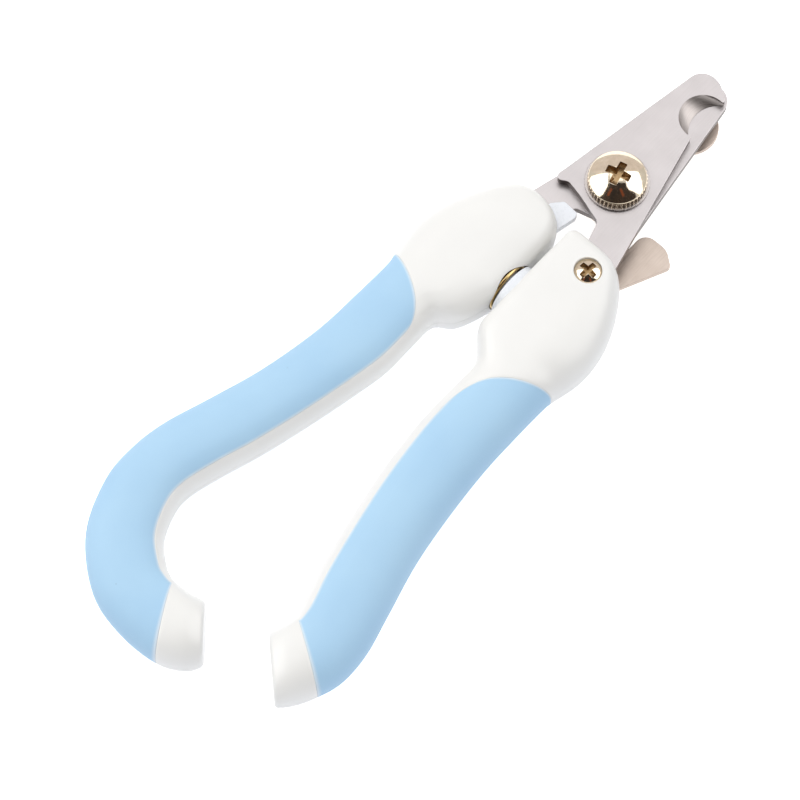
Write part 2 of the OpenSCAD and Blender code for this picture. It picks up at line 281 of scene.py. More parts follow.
def ring_profile(hole, radius, low, high, edge=0.08):
    """The section of a flat ring: a rectangle with its four corners rounded."""
    corners = [(hole, low, edge), (radius, low, edge), (radius, high, edge), (hole, high, edge)]
    return rounded(corners, 30)


print("the section of a flat ring has", len(ring_profile(1, 2, 0, 1)), "points")

# %% [markdown]
# The two blades are one part used twice, and so are the two screws. The
# second is the first turned over about the Y axis: x changes sign, and z is
# mirrored about the plane where the blades meet. Two mirrors make a turn, so
# the faces still point outwards.

# %% Turning a piece over
def turn_over(piece):
    """Turns a piece over, so that the right part serves as the left one: x to -x, and z
    to twice the middle height less z."""
    at = read(piece.data.vertices, "co") / MM * [-1, 1, -1] + [0, 0, 2 * mid_z]
    piece.data.vertices.foreach_set("co", (at * MM).ravel())
    return piece

# %% [markdown]
# ## The studio
# The camera looks down on the clipper from in front of the right handle. A
# long lens from 0.7 m keeps both handles the same size, near or far. The
# plain view transform shows the colours as they are.

# %% Camera
SENSOR, LENS, NEAR, FAR = 36, 173.25, 0.01, 20
TARGET = Vector((0.09, -59.66, 9.1)) * MM
AZIMUTH, ELEVATION, DISTANCE = math.radians(42.75), math.radians(68), 0.7
back = Vector((
    math.sin(AZIMUTH) * math.cos(ELEVATION),
    -math.cos(AZIMUTH) * math.cos(ELEVATION),
    math.sin(ELEVATION),
))
camera = bpy.data.objects.new("camera", bpy.data.cameras.new("camera"))
bpy.context.scene.collection.objects.link(camera)
camera.data.sensor_width = SENSOR
camera.data.lens = LENS
camera.data.clip_start, camera.data.clip_end = NEAR, FAR
camera.location = TARGET + back * DISTANCE
camera.rotation_mode = "QUATERNION"
camera.rotation_quaternion = (-back).to_track_quat("-Z", "Y")
bpy.context.scene.camera = camera
bpy.context.scene.view_settings.view_transform = "Standard"
print("camera at", [round(x, 3) for x in camera.location])

# %% [markdown]
# A material is a small graph of nodes, and one function adds a node with its
# settings and links. Patterns read Object coordinates, which are metres in
# the clipper's own frame, so a pattern stays on its piece whatever the camera
# does. A Mapping node moves, turns or stretches them.

# %% Material helpers
def linear(code):
    """An sRGB hex colour as the linear values that Blender mixes."""
    c = np.array([int(code[i:i + 2], 16) for i in (1, 3, 5)]) / 255
    return (*np.where(c <= 0.04045, c / 12.92, ((c + 0.055) / 1.055) ** 2.4), 1.0)


def add(tree, kind, inputs=None, stops=(), **settings):
    """Adds one node. Settings are its properties, an input is a value or a socket to link,
    and stops are the two (place, colour) ends of a colour ramp."""
    made = tree.nodes.new(kind)
    for name, value in settings.items():
        setattr(made, name, value)
    for name, value in (inputs or {}).items():
        if isinstance(value, bpy.types.NodeSocket):
            tree.links.new(value, made.inputs[name])
        else:
            made.inputs[name].default_value = value
    for element, (place, code) in zip(made.color_ramp.elements if stops else (), stops):
        element.position, element.color = place, linear(code)
    return made


def new_material(name):
    """An empty material and its node tree."""
    made = bpy.data.materials.new(name)
    made.use_nodes = True
    made.node_tree.nodes.clear()
    return made, made.node_tree


def placed(tree, scale, turn=(0, 0, 0), shift=(0, 0, 0)):
    """Object coordinates, moved, turned and scaled per axis."""
    where = add(tree, "ShaderNodeTexCoord").outputs["Object"]
    return add(tree, "ShaderNodeMapping", {
        "Vector": where, "Scale": scale, "Rotation": turn, "Location": shift,
    }).outputs["Vector"]


print("mid grey #808080 is", round(linear("#808080")[0], 3), "in linear light")

# %% [markdown]
# A small bright product is usually shot on a light table, a sheet of white
# acrylic lit from below, so that there is next to no shadow. The floor that
# the camera sees is that sheet. What shines up from it on to the clipper comes
# from a second sheet just under it, which only diffuse surfaces see, so the
# two can be set apart.

# %% Light table
def light_table():
    """White acrylic: it scatters what falls on it and glows from the tubes below."""
    made, tree = new_material("light_table_acrylic")
    grain = add(tree, "ShaderNodeTexNoise", {"Vector": placed(tree, (1, 1, 1)), "Scale": 3.0})
    tone = add(tree, "ShaderNodeValToRGB", {"Fac": grain.outputs["Fac"]},
               stops=[(0.3, "#F8F8F8"), (0.7, "#FBFBFB")])
    shader = add(tree, "ShaderNodeBsdfPrincipled", {
        "Base Color": tone.outputs["Color"], "Roughness": 0.7,
        "Emission Color": (1, 1, 1, 1), "Emission Strength": 0.7,
    })
    add(tree, "ShaderNodeOutputMaterial", {"Surface": shader.outputs[0]})
    return made


def glowing(name, colour, strength):
    """A lit surface, whose glow drifts by a fifth either way."""
    made, tree = new_material(name)
    drift = add(tree, "ShaderNodeTexNoise", {"Vector": placed(tree, (1, 1, 1)), "Scale": 2.0})
    level_of = add(tree, "ShaderNodeMapRange", {
        "Value": drift.outputs["Fac"], "To Min": 0.8 * strength, "To Max": 1.2 * strength,
    })
    shader = add(tree, "ShaderNodeEmission", {
        "Color": linear(colour), "Strength": level_of.outputs["Result"],
    })
    add(tree, "ShaderNodeOutputMaterial", {"Surface": shader.outputs[0]})
    return made


def card(name, size, at, facing, material, **seen_by):
    """A flat rectangle that faces a point. It is part of the stage, not of the clipper."""
    u, v = np.meshgrid([-size[0] / 2, size[0] / 2], [-size[1] / 2, size[1] / 2])
    flat = np.stack([u, v, np.zeros_like(u)], -1)
    turn = (Vector(facing) - Vector(at)).to_track_quat("Z", "Y").to_matrix()
    made = mesh_from(name, skin((flat @ np.array(turn).T + np.array(at)) / MM))
    made.data.materials.append(material)
    for eye, sees in seen_by.items():
        setattr(made, eye, sees)
    return made


TABLE, UP = (6, 6), (0, 0, 1)
DIFFUSE_ONLY = {"visible_camera": False, "visible_glossy": False, "visible_shadow": False}
card("floor", TABLE, (0, 0, -0.0002), UP, light_table(), visible_diffuse=False)
bounce_glow = glowing("acrylic_bounce", "#EEF3FF", 0.95)
card("bounce", TABLE, (0, 0, -0.0004), UP, bounce_glow, **DIFFUSE_ONLY)
print("light table", TABLE, "m")

# %% [markdown]
# The room is white. A key light from behind on the left models the handles,
# and a soft box hangs above the blades. Polished screws mirror the whole
# room, so the bright windows left and right of the clipper are lamps that
# only mirrors see.

# %% Room and lamps
def soft_box(name, at, size, radiance, **seen_by):
    """A square area light aimed at the clipper. Its power in watts is radiance * area * pi."""
    lamp = bpy.data.lights.new(name, "AREA")
    lamp.shape, lamp.size, lamp.size_y = "RECTANGLE", *size
    lamp.energy = radiance * size[0] * size[1] * math.pi
    made = bpy.data.objects.new(name, lamp)
    bpy.context.scene.collection.objects.link(made)
    made.location = at
    made.rotation_mode = "QUATERNION"
    made.rotation_quaternion = (TARGET - Vector(at)).to_track_quat("-Z", "Y")
    for eye, sees in seen_by.items():
        setattr(made, eye, sees)
    return made


def around(azimuth, elevation, distance):
    """A point seen from the clipper at this compass angle and height, in degrees."""
    a, e = math.radians(azimuth), math.radians(elevation)
    return TARGET + distance * Vector(
        (math.sin(a) * math.cos(e), -math.cos(a) * math.cos(e), math.sin(e))
    )


WHITE_ROOM = 0.74
FRONT = math.degrees(AZIMUTH)
MIRROR_ONLY = {"visible_camera": False, "visible_diffuse": False, "visible_shadow": False}
world = bpy.data.worlds.new("studio")
bpy.context.scene.world = world
world.use_nodes = True
world.node_tree.nodes["Background"].inputs["Color"].default_value = linear("#FFFFFF")
world.node_tree.nodes["Background"].inputs["Strength"].default_value = WHITE_ROOM
soft_box("window_left", around(FRONT - 92, 43, 1.1), (1.1, 0.85), 2.2, **MIRROR_ONLY)
soft_box("window_right", around(FRONT + 101, 43, 1.1), (1.0, 0.8), 2.1, **MIRROR_ONLY)
soft_box("key_light", around(FRONT - 133, 45, 1.2), (1.0, 1.0), 1.5, visible_glossy=False)
soft_box("soft_box_above", around(FRONT + 180, 70, 1.3), (0.9, 0.9), 1.0)
print("lamps:", [lamp.name for lamp in bpy.data.lights])

# %% [markdown]
# A polished dome looks like metal because it mirrors darks beside lights. A
# card of dark cloth hangs in front, a cream wall stands behind the blades, and
# two narrow copper cards put warm lines beside the dark. Only mirrors see
# them, so they take no light from the plastic.

# %% Cards for the mirrors
def dark_cloth():
    """Brown-black cloth, with a slow change of depth."""
    made, tree = new_material("dark_studio_cloth")
    fold = add(tree, "ShaderNodeTexNoise", {"Vector": placed(tree, (1, 1, 1)), "Scale": 4.0})
    tone = add(tree, "ShaderNodeValToRGB", {"Fac": fold.outputs["Fac"]},
               stops=[(0.4, "#241A14"), (0.6, "#3A2A1E")])
    shader = add(tree, "ShaderNodeBsdfPrincipled", {"Base Color": tone.outputs["Color"], "Roughness": 1.0})
    add(tree, "ShaderNodeOutputMaterial", {"Surface": shader.outputs[0]})
    return made


copper = glowing("copper_card", "#B4694A", 0.55)
cream = glowing("cream_wall_paint", "#E8E2E2", 1.0)
for name, size, turn, height, distance, material in (
    ("dark_card", (2.4, 1.1), 0, 57, 1.0, dark_cloth()),
    ("cream_wall", (3.6, 1.5), 180, 28, 1.6, cream),
    ("copper_card_left", (0.1, 0.3), -37, 58, 0.97, copper),
    ("copper_card_right", (0.1, 0.3), 30, 58, 0.97, copper),
):
    made = card(name, size, around(FRONT + turn, height, distance), TARGET, material, **MIRROR_ONLY)
    print(made.name, size, "m")

# %% [markdown]
# ## Metals
# Ground stainless steel is matt because the belt leaves fine parallel
# scratches. A scratch is only microns wide, far too fine for a render, so the
# grain is drawn 0.1 to 0.3 mm wide and very shallow. It lies along the blade,
# so the noise is squeezed across it and stretched along it.

# %% How a metal is built
def streaks(tree, across, along, turn=0.0, detail=3.0):
    """Noise stretched into lines: across and along are the grain's sizes in mm."""
    where = placed(tree, (1 / (across * MM), 1 / (along * MM), 1 / (across * MM)), (0, 0, turn))
    return add(tree, "ShaderNodeTexNoise", {
        "Vector": where, "Scale": 1.0, "Detail": detail, "Roughness": 0.6,
    }).outputs["Fac"]


def metal(name, light, dark, grain, roughness, height, cloud_mm=6.0):
    """A metal whose grain varies its colour, gloss and height.
    Roughness is (smooth, rough) and height is the grain's depth in mm."""
    made, tree = new_material(name)
    fac = grain(tree)
    cloud = add(tree, "ShaderNodeTexNoise", {
        "Vector": placed(tree, (1, 1, 1)), "Scale": 1 / (cloud_mm * MM), "Detail": 2.0,
    }).outputs["Fac"]
    both = add(tree, "ShaderNodeMath", {0: fac, 1: cloud}, operation="ADD").outputs[0]
    half = add(tree, "ShaderNodeMath", {0: both, 1: 0.5}, operation="MULTIPLY").outputs[0]
    gloss = add(tree, "ShaderNodeMapRange", {
        "Value": fac, "From Min": 0.3, "From Max": 0.7, "To Min": roughness[0], "To Max": roughness[1],
    }).outputs["Result"]
    tone = add(tree, "ShaderNodeValToRGB", {"Fac": half}, stops=[(0.35, dark), (0.65, light)])
    bump = add(tree, "ShaderNodeBump", {"Height": fac, "Strength": 1.0, "Distance": height * MM})
    shader = add(tree, "ShaderNodeBsdfPrincipled", {
        "Base Color": tone.outputs["Color"], "Metallic": 1.0,
        "Roughness": gloss, "Normal": bump.outputs["Normal"],
    })
    add(tree, "ShaderNodeOutputMaterial", {"Surface": shader.outputs[0]})
    return made

# %% [markdown]
# The blades show three finishes: the belt-ground sheet, the notch that a
# small wheel ground, and the rim that the press sheared. The notch and the rim
# are also darker, which is painted shade. The guard and the
# washers are steel sheet too, and were finished in other ways.

# %% Steels
# Belt-ground stainless: soft even grey with a breath of pink, and faint lines.
blade_steel = metal(
    "ground_stainless_steel", "#BEB9B9", "#B3AEAE",
    lambda tree: streaks(tree, 0.16, 5.0), (0.3, 0.42), 0.0012,
)
# The notch is ground with a small wheel, which leaves rings about its centre.
NOTCH = (5.0, 21.1)  # mm, half way between the bevel's two circles


def wheel_marks(tree):
    """Fine rings about the notch: noise read along the distance from its centre."""
    where = placed(tree, (1 / MM, 1 / MM, 0), shift=(-NOTCH[0], -NOTCH[1], 0))
    far = add(tree, "ShaderNodeVectorMath", {0: where}, operation="LENGTH").outputs["Value"]
    return add(tree, "ShaderNodeTexNoise", {"W": far, "Scale": 7.0, "Detail": 3.0},
               noise_dimensions="1D").outputs["Fac"]


# The notch's steel is darker than the sheet's: painted shade on the bevel.
notch_shade_steel = metal(
    "wheel_ground_shade_steel", "#B0A9A6", "#968F8C", wheel_marks, (0.3, 0.42), 0.003,
)
# The press leaves the rim of the sheet torn, with a fine grain in every direction; its darker colour is
# painted shade.
sheared_rim_shade_steel = metal(
    "sheared_edge_shade_steel", "#7A7371", "#645E5C",
    lambda tree: streaks(tree, 0.12, 0.12), (0.35, 0.5), 0.002,
)
# Stamped spring-steel washers: satin, with tumbling marks in every direction.
washer_steel = metal(
    "tumbled_washer_steel", "#BDB6B3", "#A7A19E",
    lambda tree: streaks(tree, 0.3, 0.3), (0.22, 0.36), 0.001,
)
# The guard's stainless sheet has been heat-tinted to a pale straw and brushed across.
guard_steel = metal(
    "brushed_straw_steel", "#C0B3A9", "#A89A8F",
    lambda tree: streaks(tree, 0.22, 4.0, math.radians(32)), (0.3, 0.44), 0.002,
)
print("steels:", [m.name for m in bpy.data.materials if "steel" in m.name])

# %% [markdown]
# The screws and the nut are plated, and the spring too. Bright nickel is
# nearly a mirror: its grain only breaks up the reflections a little. At the
# bottom of a driver recess the plate is thin and dull, because the current
# that lays it down hardly reaches there; its darker, browner colour there is
# painted shade.

# %% Plated metals and brass
# Bright nickel plate over turned steel, yellowed: a mirror with a warm tint.
nickel_plate = metal(
    "bright_nickel_plate", "#E9DBC5", "#DFCFB6",
    lambda tree: streaks(tree, 0.9, 0.9, detail=2.0), (0.07, 0.12), 0.0004,
)
# The same plate in a recess: matt, and darker and browner as painted shade.
recess_shade_plate = metal(
    "recess_painted_shade_plate", "#BFA57F", "#8E7350",
    lambda tree: streaks(tree, 0.5, 0.5, detail=2.0), (0.3, 0.45), 0.002,
)
# Drawn music wire with a thin golden nickel coat.
spring_wire = metal(
    "drawn_nickel_wire", "#D9C28E", "#B99A62",
    lambda tree: streaks(tree, 0.25, 0.25), (0.16, 0.26), 0.0008,
)
# Machined brass, for the threaded inserts.
insert_brass = metal(
    "turned_brass", "#D9B767", "#B8924A",
    lambda tree: streaks(tree, 4.0, 4.0), (0.2, 0.3), 0.001,
)
print("plated:", nickel_plate.name, recess_shade_plate.name, spring_wire.name, "and", insert_brass.name)

# %% [markdown]
# ## Plastics
# The handles are moulded ABS. Its skin copies the mould, which is polished but
# never quite flat, so the light wavers over it. The opening stop and the
# spring's seat are acetal, a harder white; its bluish tint is painted shade. The
# grips are a soft rubbery plastic moulded over the handles in an etched mould:
# dry, fine grained, with a faint pale bloom where the surface turns away. All
# three are one graph with other numbers.

# %% How a plastic is built
DRIFT_MM = 14


def plastic(name, light, dark, roughness, grain_mm, height, wave_mm=9.0, wave=0.004,
            specks=None, feather=None, ior=1.5, **skin_look):
    """A moulded plastic: colour that drifts a little, fine grain and long waves in its skin.
    A wave's height is a share of its length. Specks are (spacing in mm, size, colour), and
    feather is (width in mm, colour) of a border. Inputs 6 and 7 of a mix are its two colours."""
    made, tree = new_material(name)
    where = placed(tree, (1, 1, 1))
    drift = add(tree, "ShaderNodeTexNoise", {
        "Vector": where, "Scale": 1 / (DRIFT_MM * MM), "Detail": 3.0,
    }).outputs["Fac"]
    tone = add(tree, "ShaderNodeValToRGB", {"Fac": drift},
               stops=[(0.35, dark), (0.65, light)]).outputs["Color"]
    grain = add(tree, "ShaderNodeTexNoise", {
        "Vector": where, "Scale": 1 / (grain_mm * MM), "Detail": 2.0,
    }).outputs["Fac"]
    swell = add(tree, "ShaderNodeTexNoise", {
        "Vector": where, "Scale": 1 / (wave_mm * MM), "Detail": 1.0,
    }).outputs["Fac"]
    if specks:
        dust = add(tree, "ShaderNodeTexVoronoi", {"Vector": where, "Scale": 1 / (specks[0] * MM)})
        near = add(tree, "ShaderNodeMath", {0: dust.outputs["Distance"], 1: specks[1]},
                   operation="LESS_THAN").outputs[0]
        tone = add(tree, "ShaderNodeMix", {0: near, 6: tone, 7: linear(specks[2])},
                   data_type="RGBA").outputs[2]
    if feather:
        far = add(tree, "ShaderNodeAttribute", attribute_name="mark").outputs["Fac"]
        thick = add(tree, "ShaderNodeMapRange", {"Value": far, "From Max": feather[0]},
                    interpolation_type="SMOOTHSTEP").outputs["Result"]
        tone = add(tree, "ShaderNodeMix", {0: thick, 6: linear(feather[1]), 7: tone},
                   data_type="RGBA").outputs[2]
    gloss = add(tree, "ShaderNodeMapRange", {
        "Value": grain, "From Min": 0.3, "From Max": 0.7, "To Min": roughness[0], "To Max": roughness[1],
    }).outputs["Result"]
    long = add(tree, "ShaderNodeBump", {
        "Height": swell, "Strength": 1.0, "Distance": wave * MM * wave_mm,
    })
    fine = add(tree, "ShaderNodeBump", {
        "Height": grain, "Strength": 1.0, "Distance": height * MM, "Normal": long.outputs["Normal"],
    })
    shader = add(tree, "ShaderNodeBsdfPrincipled", {
        "Base Color": tone, "Roughness": gloss, "IOR": ior, "Normal": fine.outputs["Normal"], **skin_look,
    })
    add(tree, "ShaderNodeOutputMaterial", {"Surface": shader.outputs[0]})
    return made

# %% [markdown]
# White plastics differ less in colour than in gloss: ABS is satin, and acetal
# is waxy. The grip's colour thins to a pale edge at its border, where the
# soft layer is feathered out, and a few specks of dust stick to it.

# %% Three plastics
# Moulded ABS, warm white and satin.
handle_abs = plastic(
    "moulded_white_abs", "#EFEEEB", "#ECEBE8", (0.32, 0.4), 0.5, 0.002, ior=1.54,
)
# Machined or moulded acetal, white and waxy; its bluish tint is painted shade.
acetal = plastic(
    "waxy_white_acetal", "#EDF0F4", "#E9ECF2", (0.24, 0.32), 0.6, 0.002, ior=1.48,
)
# Soft-touch thermoplastic rubber, sky blue, from a spark-eroded mould.
soft_rubber = plastic(
    "soft_touch_rubber", "#ACD2ED", "#A7CEEB", (0.58, 0.7), 0.22, 0.012, ior=1.5,
    specks=(4.2, 0.022, "#7FA2C0"), feather=(0.75, "#D9E6F1"),
    **{"Sheen Weight": 0.12, "Sheen Roughness": 0.5},
)
print("plastics:", handle_abs.name, acetal.name, soft_rubber.name)

# %% [markdown]
# Every finished piece is handed over in the same way: it gets its materials,
# a rigid one also the body it moves with, and the parts of the solid model
# that it stands for are hidden. A blade's faces already carry a material
# number, which has to survive when the materials are put in.

# %% Handing a piece over
def hand_over(piece, slot, *nodes, materials):
    """Gives a piece its materials and hides the parts of the solid model that it stands for. The slot is
    not used.
    """
    index = read(piece.data.polygons, "material_index", 1, np.int32).ravel()
    piece.data.materials.clear()
    for material in materials:
        piece.data.materials.append(material)
    piece.data.polygons.foreach_set("material_index", np.minimum(index, len(materials) - 1))
    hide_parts(*nodes)
    report(piece)


def settle(piece, body, slot, *nodes, materials):
    """Hands over a rigid piece, which rides on one body."""
    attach(piece, body)
    hand_over(piece, slot, *nodes, materials=materials)


# %% [markdown]
# ## Blades
# Each blade is stamped from 1.8 mm stainless sheet. The outline is a round
# tip, a straight cutting side, a shank that goes into the handle, and a small
# lobe that stops the opening. The two blades are the same part turned over.

# %% Blade outline
BLADE_CORNERS = [
    (-9.5, -7.8, 0.9), (-3.8, 29.2, 3.4), (0.9, 28.4, 3), (3.7, 26.4, 0.5),
    (3.2, 21.4, 0.2), (3.2, 19.6, 0.2), (11.4, -13, 4), (16, -31.5, 1.6),
    (10.2, -33, 1.6), (4.2, -13.4, 3), (2.7, -8.5, 1.4), (-3.4, -6.7, 3),
    (-6.7, -6, 1.6),
]
PIVOT_BORE, SHANK_BORE = 2.55, 1.6
shank_screw = middle("right_handle_screw")
blade_t = front_blade_z[1] - front_blade_z[0]
print("blade", round(blade_t, 2), "mm thick, shank screw at", shank_screw.round(1))


def counterclockwise(outline):
    """The outline with its inside on the left of its direction."""
    x, y = outline.T
    area = (x * np.roll(y, -1) - y * np.roll(x, -1)).sum()
    return outline if area > 0 else outline[::-1]

# %% [markdown]
# The claw sits in a notch whose edge is ground from the outer face right
# through to the mating face, so the edge of one blade slides on the other.
# The wheel leaves a slightly hollow bevel: a cone from a small circle on the
# outer face to a larger one on the mating face, pushed out a little half way.
# That cone is cut from the plate, and its faces get the wheel-ground finish.

# %% Notch
MATING_CIRCLE, OUTER_CIRCLE = (7, 21.2, 5.9), (3.1, 21, 4.75)
HOLLOW = 0.12  # mm: how much wider the cone is half way than a straight one


def notch_circle(k):
    """Centre and radius at k: 0 on the mating face, 1 on the outer face, and between them
    hollow by 4 * k * (1 - k) of the full hollow."""
    hollow = HOLLOW * 4 * np.clip(k, 0, 1) * (1 - np.clip(k, 0, 1))
    x, y, r = (mating + (outer - mating) * k for mating, outer in zip(MATING_CIRCLE, OUTER_CIRCLE))
    return x, y, r + hollow


def notch_cone():
    """The space of the notch: circles stacked from under one face to over the other."""
    k = np.linspace(-0.2, 1.2, 22)[:, None]
    a = np.linspace(0, 2 * np.pi, 128, endpoint=False)[None, :]
    x, y, r = notch_circle(k)
    grid = np.stack([x + r * np.cos(a), y + r * np.sin(a), front_blade_z[0] + blade_t * k + 0 * a], -1)
    return mesh_from("cone", skin(grid, wrap_columns=True), cap(grid[0]), cap(grid[-1]))


def drill(radius, x, y, low, high):
    """A round cutter along Z."""
    return turned("drill", [(0, low), (radius, low), (radius, high), (0, high)],
                  centre=(x, y, 0), steps=64)


print("notch on the mating face:", notch_circle(0.0), "on the outer face:", notch_circle(1.0))

# %% [markdown]
# The cuts leave faces of three kinds, and each gets its own number. Those that
# lie on the cone are wheel ground, the other upright ones are the sheared rim,
# and the rest are the flat sheet.

# %% Both blades
def blade(name):
    """The front blade: plate, two holes and the notch. Material 0 is the sheet, 1 the bevel
    and 2 the rim; 1 and 2 are darkened with painted shade. A face's flatness is 1 where it lies flat and 0
    where it stands upright."""
    piece = plate(name, counterclockwise(rounded(BLADE_CORNERS)), *front_blade_z, edge=0.11)
    low, high = front_blade_z[0] - 1, front_blade_z[1] + 1
    cut(piece, drill(PIVOT_BORE, 0, 0, low, high),
        drill(SHANK_BORE, shank_screw[0], shank_screw[1], low, high), notch_cone())
    at = read(piece.data.polygons, "center") / MM
    flatness = np.abs(read(piece.data.polygons, "normal")[:, 2])
    x, y, r = notch_circle((at[:, 2] - front_blade_z[0]) / blade_t)
    on_cone = np.abs(np.hypot(at[:, 0] - x, at[:, 1] - y) - r) < 0.06
    ground = on_cone & (flatness < 0.95)
    sheared = ~on_cone & (flatness < 0.3)
    # The bevel's and the rim's materials are darker steels: painted shade.
    paint(piece, ground + 2 * sheared)
    return shade(piece, 24)


front = blade("front_blade_ground")
rear = turn_over(blade("rear_blade_ground"))
steels = [blade_steel, notch_shade_steel, sheared_rim_shade_steel]
settle(front, "right_half", "blade_steel", "front_blade", materials=steels)
settle(rear, "left_half", "blade_steel", "rear_blade", materials=steels)

# %% [markdown]
# ## Pivot screw
# The pivot is a large round-headed screw: a knurled side for the fingers, a
# polished dome and a cross recess. The dome is a shallow cap of a sphere with
# a rounded rim. The knurl is a ripple of the radius that fades at both ends
# of the side. The recess tapers downwards like the driver that turns it: its
# walls are upright at the mouth, and the cross shrinks with depth.

# %% Cross recess
def turning(degrees):
    """The matrix that turns row points (x, y) counterclockwise."""
    a = math.radians(degrees)
    return np.array([[math.cos(a), math.sin(a)], [-math.sin(a), math.cos(a)]])


def cross_cutter(x, y, top, reach, half_width, depth, turn, above=0.8):
    """A cross-shaped plug, from above the surface to the bottom of the recess. The shares are
    of the depth, of the arms' reach and of their half width, from the mouth down."""
    levels = np.array([above, -0.35 * depth, -0.6 * depth, -0.85 * depth, -depth])
    reaches = np.array([1.0, 1.0, 0.92, 0.7, 0.36]) * reach
    widths = np.array([1.0, 1.0, 0.96, 0.86, 0.6]) * half_width
    quarter = np.array([[0, -1], [1, 0]])
    rings = []
    for z, r, w in zip(levels, reaches, widths):
        arm = [(r, -w, 0.22 * w), (r, w, 0.22 * w), (w, w, 0.16 * w)]
        corners, spin = [], np.eye(2)
        for _ in range(4):
            corners += [(*(spin @ corner[:2]), corner[2]) for corner in arm]
            spin = quarter @ spin
        flat = rounded(corners, 30) @ turning(turn)
        rings.append(np.column_stack([flat + [x, y], np.full(len(flat), top + z)]))
    rings = np.stack(rings)
    return mesh_from("cross", skin(rings, wrap_columns=True), cap(rings[0]), cap(rings[-1]))

# %% [markdown]
# The driver and the plating leave the mouth of a recess slightly round, and
# that thin bright line is most of what one sees of it. So the mesh's crisp
# edges round the mouth get a narrow bevel. The walls and floor below it are
# dull, and get the second material, whose darker, browner colour is painted
# shade.

# %% Mouth and walls of a recess
def lip(piece, centre, reach, above, width=0.06):
    """Rounds the crisp edges that lie within reach of an upright axis and above a height."""
    mesh = piece.data
    mesh.set_sharp_from_angle(angle=math.radians(35))
    at = read(mesh.vertices, "co") / MM
    inside = (np.hypot(at[:, 0] - centre[0], at[:, 1] - centre[1]) < reach) & (at[:, 2] > above)
    crisp = read(mesh.attributes["sharp_edge"].data, "value", 1, bool).ravel()
    chosen = crisp & inside[read(mesh.edges, "vertices", 2, int)].all(1)
    weights = mesh.attributes.new("bevel_weight_edge", "FLOAT", "EDGE")
    weights.data.foreach_set("value", chosen.astype(float))
    mesh.attributes.remove(mesh.attributes["sharp_edge"])
    step = piece.modifiers.new("lip", "BEVEL")
    step.limit_method, step.width, step.segments = "WEIGHT", width * MM, 2
    print(piece.name, "rounds", int(chosen.sum()), "edges")
    return bake(piece)


def paint_recess_shade(piece, centre, reach, floor_z):
    """Material 1, with its painted shade, for the walls and floor of a recess: near the axis, and steep or
    below a height.
    """
    at = read(piece.data.polygons, "center") / MM
    steep = np.abs(read(piece.data.polygons, "normal")[:, 2]) < 0.6
    near = np.hypot(at[:, 0] - centre[0], at[:, 1] - centre[1]) < reach
    paint(piece, near & (steep | (at[:, 2] < floor_z)) & (at[:, 2] > floor_z - 2))
    return piece

# %% [markdown]
# The screw's profile has three stretches: the shaft up to the underside of the
# head, the knurled side, and the dome. Each point of the side has its own
# share of the ripple, so the 44 ribs fade out before they meet the dome.

# %% Pivot screw
def dome(radius, low, rise, rim, steps=20):
    """The profile of a shallow dome, from the rim to the axis. The rim turns inwards through
    60 degrees of a circle. From there, at height h, it rises to low + rise on a parabola:
    z = h + (low + rise - h) * (1 - (r / first r)^2)."""
    turn = np.radians(np.linspace(0, 60, 5))
    edge = np.stack([radius - rim * (1 - np.cos(turn)), low + rim * np.sin(turn)], -1)
    r = np.linspace(edge[-1, 0], 0, steps)
    top = edge[-1, 1] + (low + rise - edge[-1, 1]) * (1 - (r / r[0]) ** 2)
    return np.concatenate([edge, np.stack([r, top], -1)[1:]])


head_z = level("pivot_washer")[1]
screw_top = level("pivot_screw")[1]
HEAD_R, SIDE_H, SHANK_R = 5.5, 1.4, 2.5
KNURLS, KNURL_DEPTH = 44, 0.14
PIVOT_CROSS = {"reach": 2.42, "half_width": 0.76, "depth": 2.2, "turn": 15}
shaft = [
    (0, 1.0), (SHANK_R - 0.3, 1.0), (SHANK_R, 1.3),
    (SHANK_R, head_z - 0.1), (SHANK_R + 0.1, head_z + 0.02),
]
side = [
    (HEAD_R - 0.25, head_z + 0.02), (HEAD_R - 0.1, head_z + 0.1), (HEAD_R, head_z + 0.25),
    (HEAD_R, head_z + 0.6), (HEAD_R, head_z + SIDE_H - 0.3), (HEAD_R - 0.02, head_z + SIDE_H - 0.12),
]
top = dome(HEAD_R - 0.02, head_z + SIDE_H - 0.1, screw_top - head_z - SIDE_H + 0.1, 0.35)
fade = KNURL_DEPTH * np.array([0, 0.5, 1, 1, 1, 0.5])
pivot = turned(
    "pivot_screw_head", np.concatenate([shaft, side, top]), steps=10 * KNURLS, count=KNURLS,
    ripple=np.concatenate([np.zeros(len(shaft)), fade, np.zeros(len(top))]),
)
cut(pivot, cross_cutter(0, 0, screw_top, **PIVOT_CROSS))
# The mouth's edges lie in the top 0.74 mm of the dome, and the walls reach deeper than 0.9 mm.
lip(pivot, (0, 0), 3.2, screw_top - 0.74)
# The recess walls and floor get the darker plate: painted shade.
paint_recess_shade(pivot, (0, 0), 2.5, screw_top - 0.9)
settle(shade(pivot, 32), "left_half", "champagne_nickel", "pivot_screw",
       materials=[nickel_plate, recess_shade_plate])

# %% [markdown]
# ## Washers, spacer and nut
# Under the head lies one thin washer. Behind the blades come a spacer, the
# guard, a three-wave spring washer that makes the guard stiff to turn, and
# the round nut. They are turned rings, and only the wave washer is bent: its
# height follows a cosine with three crests round the ring.

# %% Three rings
def ring(name, node, radius, wave=0.0, crests=3):
    """A flat ring between a part's lowest and highest z, or a thinner one bent into waves:
    z grows by wave * cos(crests * angle)."""
    low, high = level(node)
    grid = lathe(ring_profile(PIVOT_BORE, radius, low + wave, high - wave), steps=128)
    grid[..., 2] += wave * np.cos(crests * np.arctan2(grid[..., 1], grid[..., 0]))
    piece = mesh_from(name, skin(grid, wrap_rows=True, wrap_columns=True))
    settle(shade(piece, 40), "left_half", "washer_steel", node, materials=[washer_steel])


